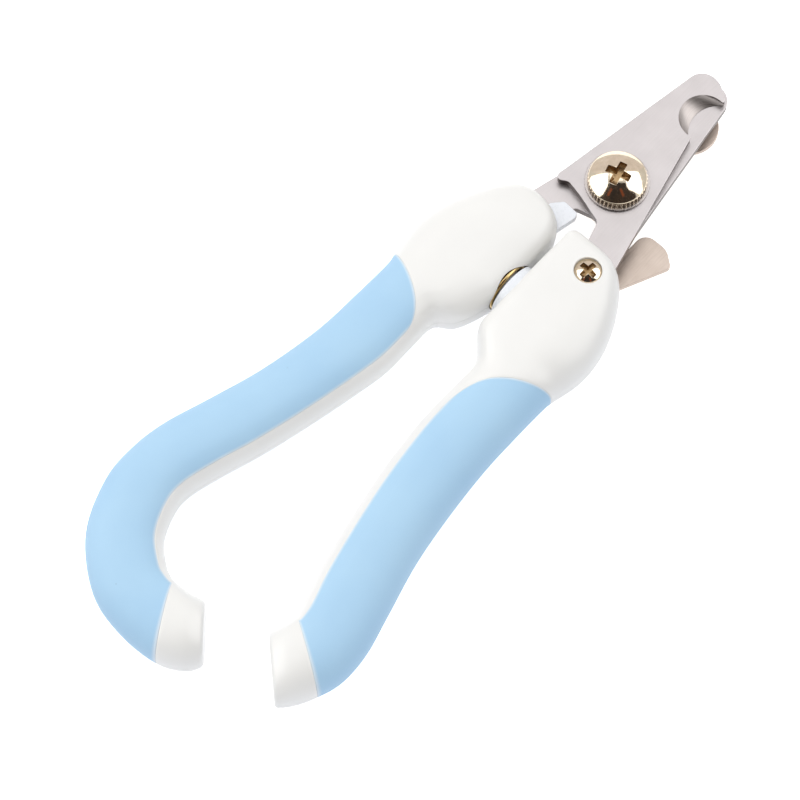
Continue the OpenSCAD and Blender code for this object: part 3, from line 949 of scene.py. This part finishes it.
ring("head_washer", "pivot_washer", 6.1)
ring("spacer_ring", "guard_spacer", 5.2)
ring("wave_spring_washer", "wave_washer", 4.8, wave=0.07)

# %% [markdown]
# The nut is round, so that it lies flat under the clipper, with fine ribs on
# its side for the fingers and a slot across its back for a coin. The slot is
# a bar cut out of it, turned by the angle of a 3-4-5 triangle.

# %% Round nut
nut_low, nut_high = level("pivot_nut")
NUT_R, NUT_BORE, SLOT_DEPTH, SLOT_HALF = 5.2, 2.6, 0.55, 0.55
nut = turned("round_nut", [
    (0, nut_low), (NUT_R - 0.35, nut_low), (NUT_R - 0.12, nut_low + 0.08), (NUT_R, nut_low + 0.3),
    (NUT_R, nut_high - 0.1), (NUT_R - 0.1, nut_high), (NUT_BORE, nut_high),
    (NUT_BORE, nut_high - 0.6), (0, nut_high - 0.6),
], steps=360, ripple=[0, 0, 0.03, 0.09, 0.03, 0, 0, 0, 0], count=60)
bar = np.array([(-7, -SLOT_HALF), (7, -SLOT_HALF), (7, SLOT_HALF), (-7, SLOT_HALF)])
bar = bar @ np.array([[0.8, 0.6], [-0.6, 0.8]])
cut(nut, plate("slot", bar, nut_low - 1, nut_low + SLOT_DEPTH, 0.02))
settle(shade(nut, 32), "left_half", "champagne_nickel", "pivot_nut", materials=[nickel_plate])

# %% [markdown]
# ## Guard
# The guard is a thin stainless plate that swings on the same pivot. Its round
# end covers the notch from behind, and its paddle is pushed with the thumb.
# Stop, arm, hub and paddle run into each other in fillets, so the whole
# plate is one outline: two long arcs and the paddle's round corners.

# %% Guard plate
STOP_AT, STOP_R, HUB_R = (0.7, 20.2), 5.6, 6.4


def fixed(points):
    """Points of an arc, as outline corners that need no rounding of their own."""
    return [(x, y, 0) for x, y in points]


guard_corners = [
    *fixed(arc(STOP_AT, STOP_R, -48, 226)), (-2.75, 13.5, 4), (-3.3, 8.2, 4),
    *fixed(arc((0, 0), HUB_R, 128, 284)), (7.4, -14.6, 2), (12.7, -15.1, 1.2),
    (17.5, -4.2, 1), (14.5, -1.9, 3.5), (9.1, -2, 2.4), (9.1, -8.9, 0.6), (7.4, -8.9, 0.6),
    *fixed(arc((0, 0), HUB_R, -8, 42)), (4.4, 8.2, 4), (3.9, 13.2, 4),
]
guard_low, guard_high = level("guard_plate")
guard_outline = counterclockwise(rounded(guard_corners))
guard = plate("guard_plate_brushed", guard_outline, guard_low, guard_high, edge=0.12)
cut(guard, drill(PIVOT_BORE, 0, 0, guard_low - 1, guard_high + 1))
settle(shade(guard, 24), "guard", "guard_steel", "guard_plate", materials=[guard_steel])

# %% [markdown]
# ## Handles
# A handle is a long soft form, so it is lofted. At each station the inner and
# outer edges are given, with the half thickness and how square each side of
# the section is. A Catmull-Rom curve runs through the stations, and round the
# section goes a superellipse, |x|^n + |z|^n = 1: with n = 2 it is an ellipse,
# and with n = 7 nearly a rectangle, as at the flat inner side of the heads.

# %% Handle stations
# Each row: inner x, y, outer x, y, half thickness, and n on the inner and the outer side.
HEAD, GRIP = 6.8, 6.0
right_stations = np.array([
    (1.6, -13.6, 11.4, -13.6, HEAD - 1.4, 7, 3.2), (0.8, -14.6, 13.5, -14.8, HEAD - 0.5, 7, 3),
    (0.8, -17, 15.9, -17.3, HEAD - 0.2, 7, 2.8), (0.8, -21, 18.4, -21.4, HEAD, 7, 2.7),
    (0.8, -26, 20.3, -26, HEAD, 7, 2.6), (0.8, -31, 21.2, -30.5, HEAD, 6, 2.6),
    (0.8, -35.4, 21.2, -34.5, HEAD, 5, 2.5), (1, -39.6, 20.6, -37.9, HEAD - 0.2, 4, 2.4),
    (5.1, -44.8, 20.1, -39.8, GRIP + 0.3, 3, 2.4), (5.2, -49.9, 19.8, -42.2, GRIP + 0.1, 2.4, 2.3),
    (5.2, -56.3, 19.8, -49.8, GRIP, 2.3, 2.3), (5.5, -62.2, 20.1, -58.9, GRIP, 2.3, 2.3),
    (6.8, -72.1, 21.3, -69.9, GRIP, 2.3, 2.3), (8.8, -82.1, 23.1, -80.3, GRIP, 2.3, 2.3),
    (11.4, -93.1, 25.9, -90.4, GRIP, 2.3, 2.3), (13.4, -99, 28.1, -98.6, GRIP, 2.3, 2.3),
    (14, -100.8, 28.5, -105.2, GRIP, 2.3, 2.3), (14.4, -102.4, 27.1, -110.4, GRIP, 2.4, 2.3),
    (13.8, -105.9, 25.2, -114.2, GRIP, 2.6, 2.4), (12.9, -108, 23, -117.1, GRIP - 1, 2.6, 2.4),
])
left_stations = np.array([
    (-4.6, -12.9, -11, -12.6, HEAD - 1.8, 2.6, 2.6), (-2.4, -14, -13.6, -13.8, HEAD - 0.7, 3, 2.7),
    (-1, -16.6, -16.3, -16.6, HEAD - 0.3, 3.6, 2.7), (-0.6, -20.6, -19, -21, HEAD, 4, 2.6),
    (-0.6, -25.6, -20.9, -26, HEAD, 4, 2.6), (-0.7, -30.6, -21.6, -30.5, HEAD, 4, 2.6),
    (-1.1, -34.6, -21.5, -34.4, HEAD, 4, 2.5), (-3.1, -40.6, -20.9, -37.5, HEAD - 0.3, 3.4, 2.4),
    (-6.2, -43.7, -20.5, -39.4, GRIP + 0.2, 2.8, 2.4), (-6.3, -49, -20.2, -41.6, GRIP + 0.1, 2.4, 2.3),
    (-6.2, -56.3, -20.3, -49.8, GRIP, 2.3, 2.3), (-7.3, -63.2, -20.7, -59.9, GRIP, 2.3, 2.3),
    (-9.4, -73.6, -22.7, -72, GRIP, 2.3, 2.3), (-11.8, -83.7, -25.7, -82.6, GRIP, 2.3, 2.3),
    (-14.1, -91.3, -28.6, -92.2, GRIP, 2.3, 2.3), (-15.8, -98.3, -29.5, -99.9, GRIP, 2.3, 2.3),
    (-15.4, -102.7, -28.6, -107.4, GRIP, 2.3, 2.3), (-13, -107.9, -24.1, -116.7, GRIP, 2.3, 2.3),
    (-9.2, -111.1, -15.5, -123.7, GRIP, 2.3, 2.3), (-7.6, -111.9, -6.8, -125.8, GRIP, 2.3, 2.3),
    (-6.1, -112.3, 1.7, -125.3, GRIP, 2.4, 2.3), (-2.4, -112.2, 6.5, -122.8, GRIP - 0.1, 2.6, 2.4),
    (0.7, -111.3, 8.3, -120, GRIP - 1.2, 2.6, 2.4),
])
print("stations:", len(right_stations), "right,", len(left_stations), "left")

# %% [markdown]
# Two more things make the stations easy to use: a ruler, so that a border or
# a rounding can be set out in millimetres along the handle, and a function
# that gives the point at any station and angle. Its inset draws the surface
# in, and that is how the grip's recess and the rounded ends are made.

# %% Handle surface
def along(stations, s):
    """Catmull-Rom through the stations: a cubic in t between b and c, whose slope at
    each of them is half the step between its neighbours."""
    last = len(stations) - 1
    i = np.clip(np.floor(s).astype(int), 0, last - 1)
    t = (s - i)[..., None]
    a, b = stations[np.maximum(i - 1, 0)], stations[i]
    c, d = stations[i + 1], stations[np.minimum(i + 2, last)]
    return 0.5 * (2 * b + (c - a) * t + (2 * a - 5 * b + 4 * c - d) * t**2 + (3 * b - a - 3 * c + d) * t**3)


def ruler(stations):
    """Station numbers, and the distance in mm along the handle's centre line at each."""
    s = np.linspace(0, len(stations) - 1, 600)
    row = along(stations, s)
    centre = (row[:, 0:2] + row[:, 2:4]) / 2
    steps = np.linalg.norm(np.diff(centre, axis=0), axis=1)
    return s, np.concatenate([[0], np.cumsum(steps)])


def handle_point(stations, s, angle, inset):
    """A point of the handle at station s and angle from the outer edge, in degrees:
    in direction (cos a, sin a) the superellipse is at (|cos a|^n + |sin a|^n)^(-1/n)."""
    row = along(stations, s)
    inner, outer, tall = row[..., 0:2], row[..., 2:4], row[..., 4]
    c, z = np.cos(np.radians(angle)), np.sin(np.radians(angle))
    n = np.where(c < 0, row[..., 5], row[..., 6])
    reach = (np.abs(c) ** n + np.abs(z) ** n) ** (-1 / n)
    width = np.linalg.norm(outer - inner, axis=-1)
    x = ((width / 2 - inset) * c * reach / width)[..., None]
    xy = (inner + outer) / 2 + (outer - inner) * x
    return np.concatenate([xy, (mid_z + (tall - inset) * z * reach)[..., None]], -1)

# %% [markdown]
# The grip's upper border isn't straight: it climbs over the front of the
# handle in a round bow. So the border is a station number that depends on the
# angle. Shell and grip use the same border and the same angles, the shell
# steps down there by the grip's thickness, and the grip fills the step. Points
# lie close together near the borders, where the surface turns quickly.

# %% Where the grip lies
# GRIP_T is the grip's thickness, and ROLL how far the shell's edge beside it is drawn in.
GRIP_T, ROLL = 1.45, 0.05
right_grip_at = {"top": (8.4, 1.8, 4), "end": 17.0, "half_angle": 133.0}
left_grip_at = {"top": (7.8, 1.5, 2), "end": 20.0, "half_angle": 140.0}
MM_PER_DEGREE = 0.115  # how far a degree reaches round a handle, near its sides
NEAR_BORDER = np.array([0, 0.05, 0.14, 0.3, 0.5, 0.8, 1.2, 1.8, 2.6])


def grip_border(at, angle):
    """Station of the grip's upper border: first + drop * (1 - sqrt(1 - x^p)),
    with x = |angle| / half angle."""
    first, drop, power = at["top"]
    x = np.minimum(np.abs(angle) / at["half_angle"], 1)
    return first + drop * (1 - np.sqrt(1 - x**power))


def grip_angles(at):
    """Angles across the grip, close together near its two long borders."""
    near = NEAR_BORDER / MM_PER_DEGREE
    half = at["half_angle"]
    inner = np.linspace(0, half - near[-1] - 3, 26)
    side = np.concatenate([inner, half - near[::-1]])
    return np.concatenate([-side[:0:-1], side])


for hand, stations, at in (
    ("right", right_stations, right_grip_at), ("left", left_stations, left_grip_at),
):
    s, far = ruler(stations)
    starts, ends = np.interp([at["top"][0], at["end"]], s, far)
    print(f"{hand} handle {far[-1]:.0f} mm along its middle, grip from {starts:.0f} to {ends:.0f}")

# %% [markdown]
# ### Hard shells
# Each handle is two moulded halves that meet in the middle, which leaves a
# fine parting line along the sides. A half is a grid: its rows run from the
# head to the end, with the rows and columns doubled where the wall of the
# grip's recess drops. The ends are rounded by drawing the last rows in.

# %% Rows of a shell
def shell_rows(anchors, top_r, end_r):
    """Distances along the handle for every row and column, the rounding of each row,
    and how far each row is let in for the grip. The anchors are top, border, end of grip,
    end. A block of rows runs from one anchor to another by shares, with an offset in mm."""
    turn = np.radians(np.linspace(90, 0, 7))
    rise, draw = 1 - np.sin(turn), 1 - np.cos(turn)
    nothing, edge = 0.0, 0.15
    blocks = [  # first anchor, last anchor, shares, offset, rounding, let in
        (0, 0, 0 * rise, top_r * rise, top_r * draw, nothing),
        (0, 1, np.linspace(0, 1, 44)[1:], np.linspace(top_r, -edge, 44)[1:], nothing, nothing),
        (1, 1, np.zeros(2), nothing, nothing, np.array([ROLL, GRIP_T])),
        (1, 2, np.linspace(0, 1, 80)[1:-1], nothing, nothing, GRIP_T),
        (2, 2, np.zeros(2), nothing, nothing, np.array([GRIP_T, ROLL])),
        (2, 3, np.linspace(0, 1, 18)[:-1], np.linspace(edge, -end_r, 18)[:-1], nothing, nothing),
        (3, 3, 0 * rise, -end_r * rise[::-1], end_r * draw[::-1], nothing),
    ]
    far, rounding, let_in = [], [], []
    for first, last, share, offset, draw_in, recess in blocks:
        rows = len(share)
        far.append(anchors[first] + np.outer(share, anchors[last] - anchors[first])
                   + np.broadcast_to(offset, rows)[:, None])
        rounding.append(np.broadcast_to(draw_in, rows))
        let_in.append(np.broadcast_to(recess, rows))
    return np.concatenate(far), np.concatenate(rounding), np.concatenate(let_in)

# %% [markdown]
# The columns of a half go round it from the outer parting line to the inner
# one. Those on the two parting lines are drawn in by a tenth of a millimetre,
# so the line between the halves shows as a fine groove.

# %% One half of a shell
# The groove is 0.1 mm deep and 0.9 degrees wide, and the recess's long wall slopes over 1.2 degrees.
PARTING_DEPTH, PARTING_ANGLE, WALL_ANGLE = 0.1, 0.9, 1.2


def shell_half(name, stations, at, side, top_r=0.5, end_r=0.7):
    """One half of a handle's shell, as a closed mesh. Side is 1 for the front, -1 for the rear."""
    angles = grip_angles(at)
    half = at["half_angle"]
    bare = np.linspace(half + WALL_ANGLE, 180 - 1, 14)
    covered = np.concatenate([[0, PARTING_ANGLE], angles[angles > PARTING_ANGLE]])
    column_angle = np.concatenate([covered, [half], bare, [180]])
    deep = np.concatenate([np.full(len(covered), GRIP_T), [ROLL], 0 * bare, [0]])
    parting = np.zeros(len(column_angle))
    parting[[0, -1]] = PARTING_DEPTH
    s, far = ruler(stations)
    border = np.interp(grip_border(at, column_angle), s, far)
    anchors = np.stack([
        0 * border, border, 0 * border + np.interp(at["end"], s, far), 0 * border + far[-1],
    ])
    rows, rounding, let_in = shell_rows(anchors, top_r, end_r)
    inset = rounding[:, None] + parting + np.minimum(let_in[:, None], deep)
    grid = handle_point(stations, np.interp(rows, far, s), side * column_angle + 0 * rows, inset)
    return mesh_from(name, skin(grid, wrap_columns=True), cap(grid[0]), cap(grid[-1]))

# %% [markdown]
# The halves are cut for what they hold: a slot for the blade's shank, a
# stepped hole for the clamping screw, a bore for its brass insert, a pocket
# for the spring, and a shallow sweep behind the right head that lets the
# guard swing past. Mouths get a small bevel, which also catches the light.

# %% Cutters for the shells
SCREW_SEAT_Z, SCREW_HOLE, COUNTERBORE, MOUTH = 12.1, 1.6, 2.64, 2.7
INSERT_BORE = 2.32
SHANK_SLOT = np.array([(2.7, -9), (10.9, -10), (16.6, -32.2), (9.8, -34.0)])
STOP_ROOT = np.array([(-6.5, -11), (-0.8, -11), (-2, -17), (-3.1, -20.1), (-6.5, -20.1)])
spring_at = middle("handle_spring")
stop_z = level("opening_stop")


def on_shank(name, profile):
    """A turned cutter along the axis of the right handle's screw."""
    return turned(name, profile, centre=(*shank_screw[:2], 0), steps=72)


def screw_cut():
    """Screw hole, seat and bevelled counterbore."""
    return on_shank("screw_cut", [
        (0, 5.5), (SCREW_HOLE, 5.5), (SCREW_HOLE, SCREW_SEAT_Z), (COUNTERBORE, SCREW_SEAT_Z),
        (COUNTERBORE, 13.6), (MOUTH, 13.7), (MOUTH, 16), (0, 16),
    ])


def insert_cut():
    """Blind bore for the brass insert."""
    low = level("right_screw_insert")[0]
    return on_shank("insert_cut", [(0, low), (INSERT_BORE, low), (INSERT_BORE, 8), (0, 8)])


def flat_cut(name, outline, low, high):
    """A cutter with upright walls over an outline."""
    return plate(name, counterclockwise(outline), low, high, 0.02)


def shank_cut():
    """The slot for a blade's shank."""
    return flat_cut("shank_cut", SHANK_SLOT, mid_z - 0.6, front_blade_z[1] + 0.02)


def bore(name, profile):
    """A turned shape along X through the spring's axis, from (radius, x) points."""
    return turned(name, profile, centre=(0, spring_at[1], mid_z), steps=96, axis="x")


def seat_cut():
    """The round pocket for the spring's seat, with a deeper hole for its stem."""
    return bore("seat_cut", [(0, -3), (5.5, -3), (5.5, 4), (3.05, 4), (3.05, 7.1), (0, 7.1)])


def pocket_cut():
    """The spring's pocket in the left head, a little wider at its mouth."""
    return bore("pocket_cut", [(0, -7.3), (5.25, -7.3), (5.25, -0.9), (5.3, -0.7), (5.3, 2), (0, 2)])


def stop_cut():
    """The slot that holds the root of the opening stop."""
    return flat_cut("stop_root", STOP_ROOT, stop_z[0] - 0.5, stop_z[1] + 0.05)


def sweep_cut():
    """A flat disc round the pivot, where the guard's paddle passes."""
    return turned("sweep", [(0, -1), (19.7, -1), (19.7, 3.2), (0, 3.2)], steps=160)


print("spring axis at y", round(spring_at[1], 2), "stop from z", stop_z)

# %% [markdown]
# The left handle's shank and screw sit in its rear half, because the left
# blade is the right one turned over. So its cutters are turned over as well.

# %% The four halves
for name, stations, at, side, body, node, cutters in (
    ("right_handle_front", right_stations, right_grip_at, 1, "right_half", "right_front_shell",
     lambda: (shank_cut(), screw_cut(), seat_cut())),
    ("right_handle_rear", right_stations, right_grip_at, -1, "right_half", "right_rear_shell",
     lambda: (insert_cut(), sweep_cut(), seat_cut())),
    ("left_handle_front", left_stations, left_grip_at, 1, "left_half", "left_front_shell",
     lambda: (turn_over(insert_cut()), stop_cut(), pocket_cut())),
    ("left_handle_rear", left_stations, left_grip_at, -1, "left_half", "left_rear_shell",
     lambda: (turn_over(shank_cut()), turn_over(screw_cut()), pocket_cut())),
):
    piece = cut(shell_half(name, stations, at, side), *cutters())
    settle(shade(piece, 38), body, "white_plastic", node, materials=[handle_abs])

# %% [markdown]
# ### Soft grips
# The soft plastic is moulded into the recess. It shrinks a little as it cools,
# so its borders are rolled, and the middle stands a touch proud of the hard
# shell. The grip is two skins, one outside and one under it, joined by four
# narrow border strips.

# %% Grips
GRIP_GAP, GRIP_ROLL, GRIP_PROUD, SWELL_WIDTH, UNDER_GAP = 0.005, 0.12, 0.03, 2.5, 0.03


def soft_grip(name, stations, at):
    """A closed skin over the recess. At distance d from a border the surface drops by
    roll - sqrt(roll^2 - (roll - d)^2), and further in it rises along a smooth step,
    3 x^2 - 2 x^3. The distance d is kept as marks, for the pale edge."""
    angle = grip_angles(at)[None, :]
    s, far = ruler(stations)
    start = np.interp(grip_border(at, angle), s, far)
    stop = np.interp(at["end"], s, far)
    near, between = NEAR_BORDER[:-1], np.linspace(0, 1, 90)[3:-3]
    share = np.concatenate([0 * near, between, 0 * near + 1])[:, None]
    offset = np.concatenate([near, 0 * between, -near[::-1]])[:, None]
    rows = start + GRIP_GAP + (stop - start - 2 * GRIP_GAP) * share + offset
    from_side = (at["half_angle"] - np.abs(angle)) * MM_PER_DEGREE + 0 * rows
    d = np.minimum(np.minimum(rows - start - GRIP_GAP, stop - GRIP_GAP - rows), from_side)
    round_edge = GRIP_ROLL**2 - np.maximum(GRIP_ROLL - d, 0) ** 2
    fall = GRIP_ROLL - np.sqrt(np.maximum(round_edge, 0))
    swell = np.clip(d / SWELL_WIDTH, 0, 1)
    inset = fall - GRIP_PROUD * swell * swell * (3 - 2 * swell)
    angle = angle * (1 - GRIP_GAP / MM_PER_DEGREE / at["half_angle"]) + 0 * rows
    station = np.interp(rows, far, s)
    outside = handle_point(stations, station, angle, inset)
    inside = handle_point(stations, station, angle, GRIP_T - UNDER_GAP + 0 * rows)
    parts = [skin(outside), skin(inside), *(skin(np.stack(pair)) for pair in (
        (outside[0], inside[0]), (outside[-1], inside[-1]),
        (outside[:, 0], inside[:, 0]), (outside[:, -1], inside[:, -1]),
    ))]
    marks = np.zeros(sum(len(points) for points, _ in parts))
    marks[:d.size] = d.ravel()
    return mesh_from(name, *parts, marks=marks)


for name, stations, at, body, node in (
    ("right_soft_grip", right_stations, right_grip_at, "right_half", "right_grip"),
    ("left_soft_grip", left_stations, left_grip_at, "left_half", "left_grip"),
):
    settle(shade(soft_grip(name, stations, at), 50), body, "soft_grip", node, materials=[soft_rubber])

# %% [markdown]
# ## Handle screws and inserts
# A pan-head machine screw clamps each shank, from the front on the right and
# from behind on the left. It goes into a brass insert, whose straight knurl
# grips the plastic.

# %% Screws and inserts
SCREW_R, SCREW_LENGTH, SCREW_HEAD_R, PAN_SIDE = 1.5, 8, 2.6, 0.75
PAN_CROSS = {"reach": 1.72, "half_width": 0.52, "depth": 1.4, "turn": -4}
INSERT_R, INSERT_RIBS, RIB_DEPTH = 2.22, 36, 0.08


def pan_screw(name):
    """A pan head with a rounded rim and a low dome, on a shank with a bevelled end."""
    x, y = shank_screw[:2]
    seat_z, high = SCREW_SEAT_Z, level("right_handle_screw")[1]
    end_z = seat_z - SCREW_LENGTH
    stem = [
        (0, end_z), (SCREW_R - 0.35, end_z), (SCREW_R, end_z + 0.4), (SCREW_R, seat_z - 0.1),
        (SCREW_R + 0.1, seat_z), (SCREW_HEAD_R - 0.12, seat_z), (SCREW_HEAD_R, seat_z + 0.12),
    ]
    head = dome(SCREW_HEAD_R, seat_z + PAN_SIDE, high - seat_z - PAN_SIDE, 0.3)
    piece = turned(name, np.concatenate([stem, head]), centre=(x, y, 0), steps=96)
    cut(piece, cross_cutter(x, y, high, **PAN_CROSS))
    lip(piece, (x, y), 2.1, high - 0.47, 0.05)
    # The recess walls and floor get the darker plate: painted shade.
    return shade(paint_recess_shade(piece, (x, y), 1.8, high - 0.6), 32)


def knurled_insert(name):
    """A brass ring with straight ribs: only the outer half of its section ripples."""
    low, high = level("right_screw_insert")
    section = ring_profile(SCREW_R + 0.05, INSERT_R, low, high - 0.02, 0.15)
    ribs = RIB_DEPTH * (section[:, 0] > (SCREW_R + INSERT_R) / 2)
    piece = turned(name, section, closed=True, centre=(*shank_screw[:2], 0), steps=6 * INSERT_RIBS,
                   ripple=ribs, count=INSERT_RIBS)
    return shade(piece, 40)


for hand in ("right", "left"):
    screw = pan_screw(hand + "_pan_screw")
    insert = knurled_insert(hand + "_knurled_insert")
    if hand == "left":
        turn_over(screw)
        turn_over(insert)
    settle(screw, hand + "_half", "champagne_nickel", hand + "_handle_screw",
           materials=[nickel_plate, recess_shade_plate])
    settle(insert, hand + "_half", "insert_brass", hand + "_screw_insert", materials=[insert_brass])

# %% [markdown]
# ## Stop, seat and spring
# A small acetal plate beside the left shank is what the front blade's lobe
# meets when the handles are fully open. The spring sits in a pocket in the
# left head and on a turned acetal seat in the right one.

# %% Stop and seat
STOP_CORNERS = [
    (-6.4, -11.6, 0.3), (-4.6, -9.5, 0.8), (-1.2, -9.7, 0.6), (-0.9, -10.8, 0.5),
    (-2.1, -16.6, 1), (-3.2, -20, 1), (-6.4, -20, 1),
]
stop = plate("acetal_stop", counterclockwise(rounded(STOP_CORNERS, 10)), *stop_z, edge=0.18)
settle(shade(stop, 30), "left_half", "inner_plastic", "opening_stop", materials=[acetal])

SEAT_BUTTON, SEAT_STEM = 3.45, 3
seat = bore("acetal_spring_seat", [
    (0, -1.9), (2.9, -1.9), (3.25, -1.75), (SEAT_BUTTON, -1.4), (SEAT_BUTTON, -0.6), (3.6, -0.4),
    (5.2, -0.4), (5.38, -0.33), (5.45, -0.15), (5.45, 3.7), (5.3, 3.9),
    (SEAT_STEM, 3.9), (SEAT_STEM, 6.8), (SEAT_STEM - 0.2, 7), (0, 7),
])
settle(shade(seat, 40), "right_half", "inner_plastic", "spring_seat", materials=[acetal])

# %% [markdown]
# A compression spring has its end coils wound tight so that it stands flat,
# and open coils between. Its centre line is a helix whose pitch changes:
# one wire thickness per turn at the ends and wider in the middle. The wire's
# section is carried along it on two directions, outwards from the axis and
# square to the line. The spring joins two bodies, and is attached to neither.

# %% Spring
COIL_R, WIRE_R, TURNS = 4.6, 0.45, 5
SPRING_X = (-6.8, -0.9)
CLOSED_TURNS, OPEN_PITCH = 0.35, 3.0


def spring():
    """Wire on a helix: x is the pitch summed up along the turns, y and z go round. The pitch
    opens over one turn after the closed part, and the sum is fitted between the ends."""
    turns = np.linspace(0, TURNS, 320)
    open_part = np.clip(np.minimum(turns, TURNS - turns) - CLOSED_TURNS, 0, 1)
    pitch = 2 * WIRE_R * (1 - open_part) + OPEN_PITCH * open_part
    x = np.concatenate([[0], np.cumsum((pitch[1:] + pitch[:-1]) / 2 * np.diff(turns))])
    x = SPRING_X[0] + (SPRING_X[1] - SPRING_X[0]) * x / x[-1]
    q = 2 * np.pi * turns
    out = np.stack([0 * q, np.cos(q), np.sin(q)], -1)
    line = np.stack([x, 0 * q, 0 * q], -1) + COIL_R * out + [0, spring_at[1], mid_z]
    side = unit(np.cross(unit(np.gradient(line, axis=0)), out))
    a = np.linspace(0, 2 * np.pi, 16, endpoint=False)[None, :, None]
    grid = line[:, None] + WIRE_R * (np.cos(a) * out[:, None] + np.sin(a) * side[:, None])
    return mesh_from("coil_spring", skin(grid, wrap_columns=True), cap(grid[0]), cap(grid[-1]))


coil = shade(spring(), 50)
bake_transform(coil)
hand_over(coil, "spring_wire", "handle_spring", materials=[spring_wire])
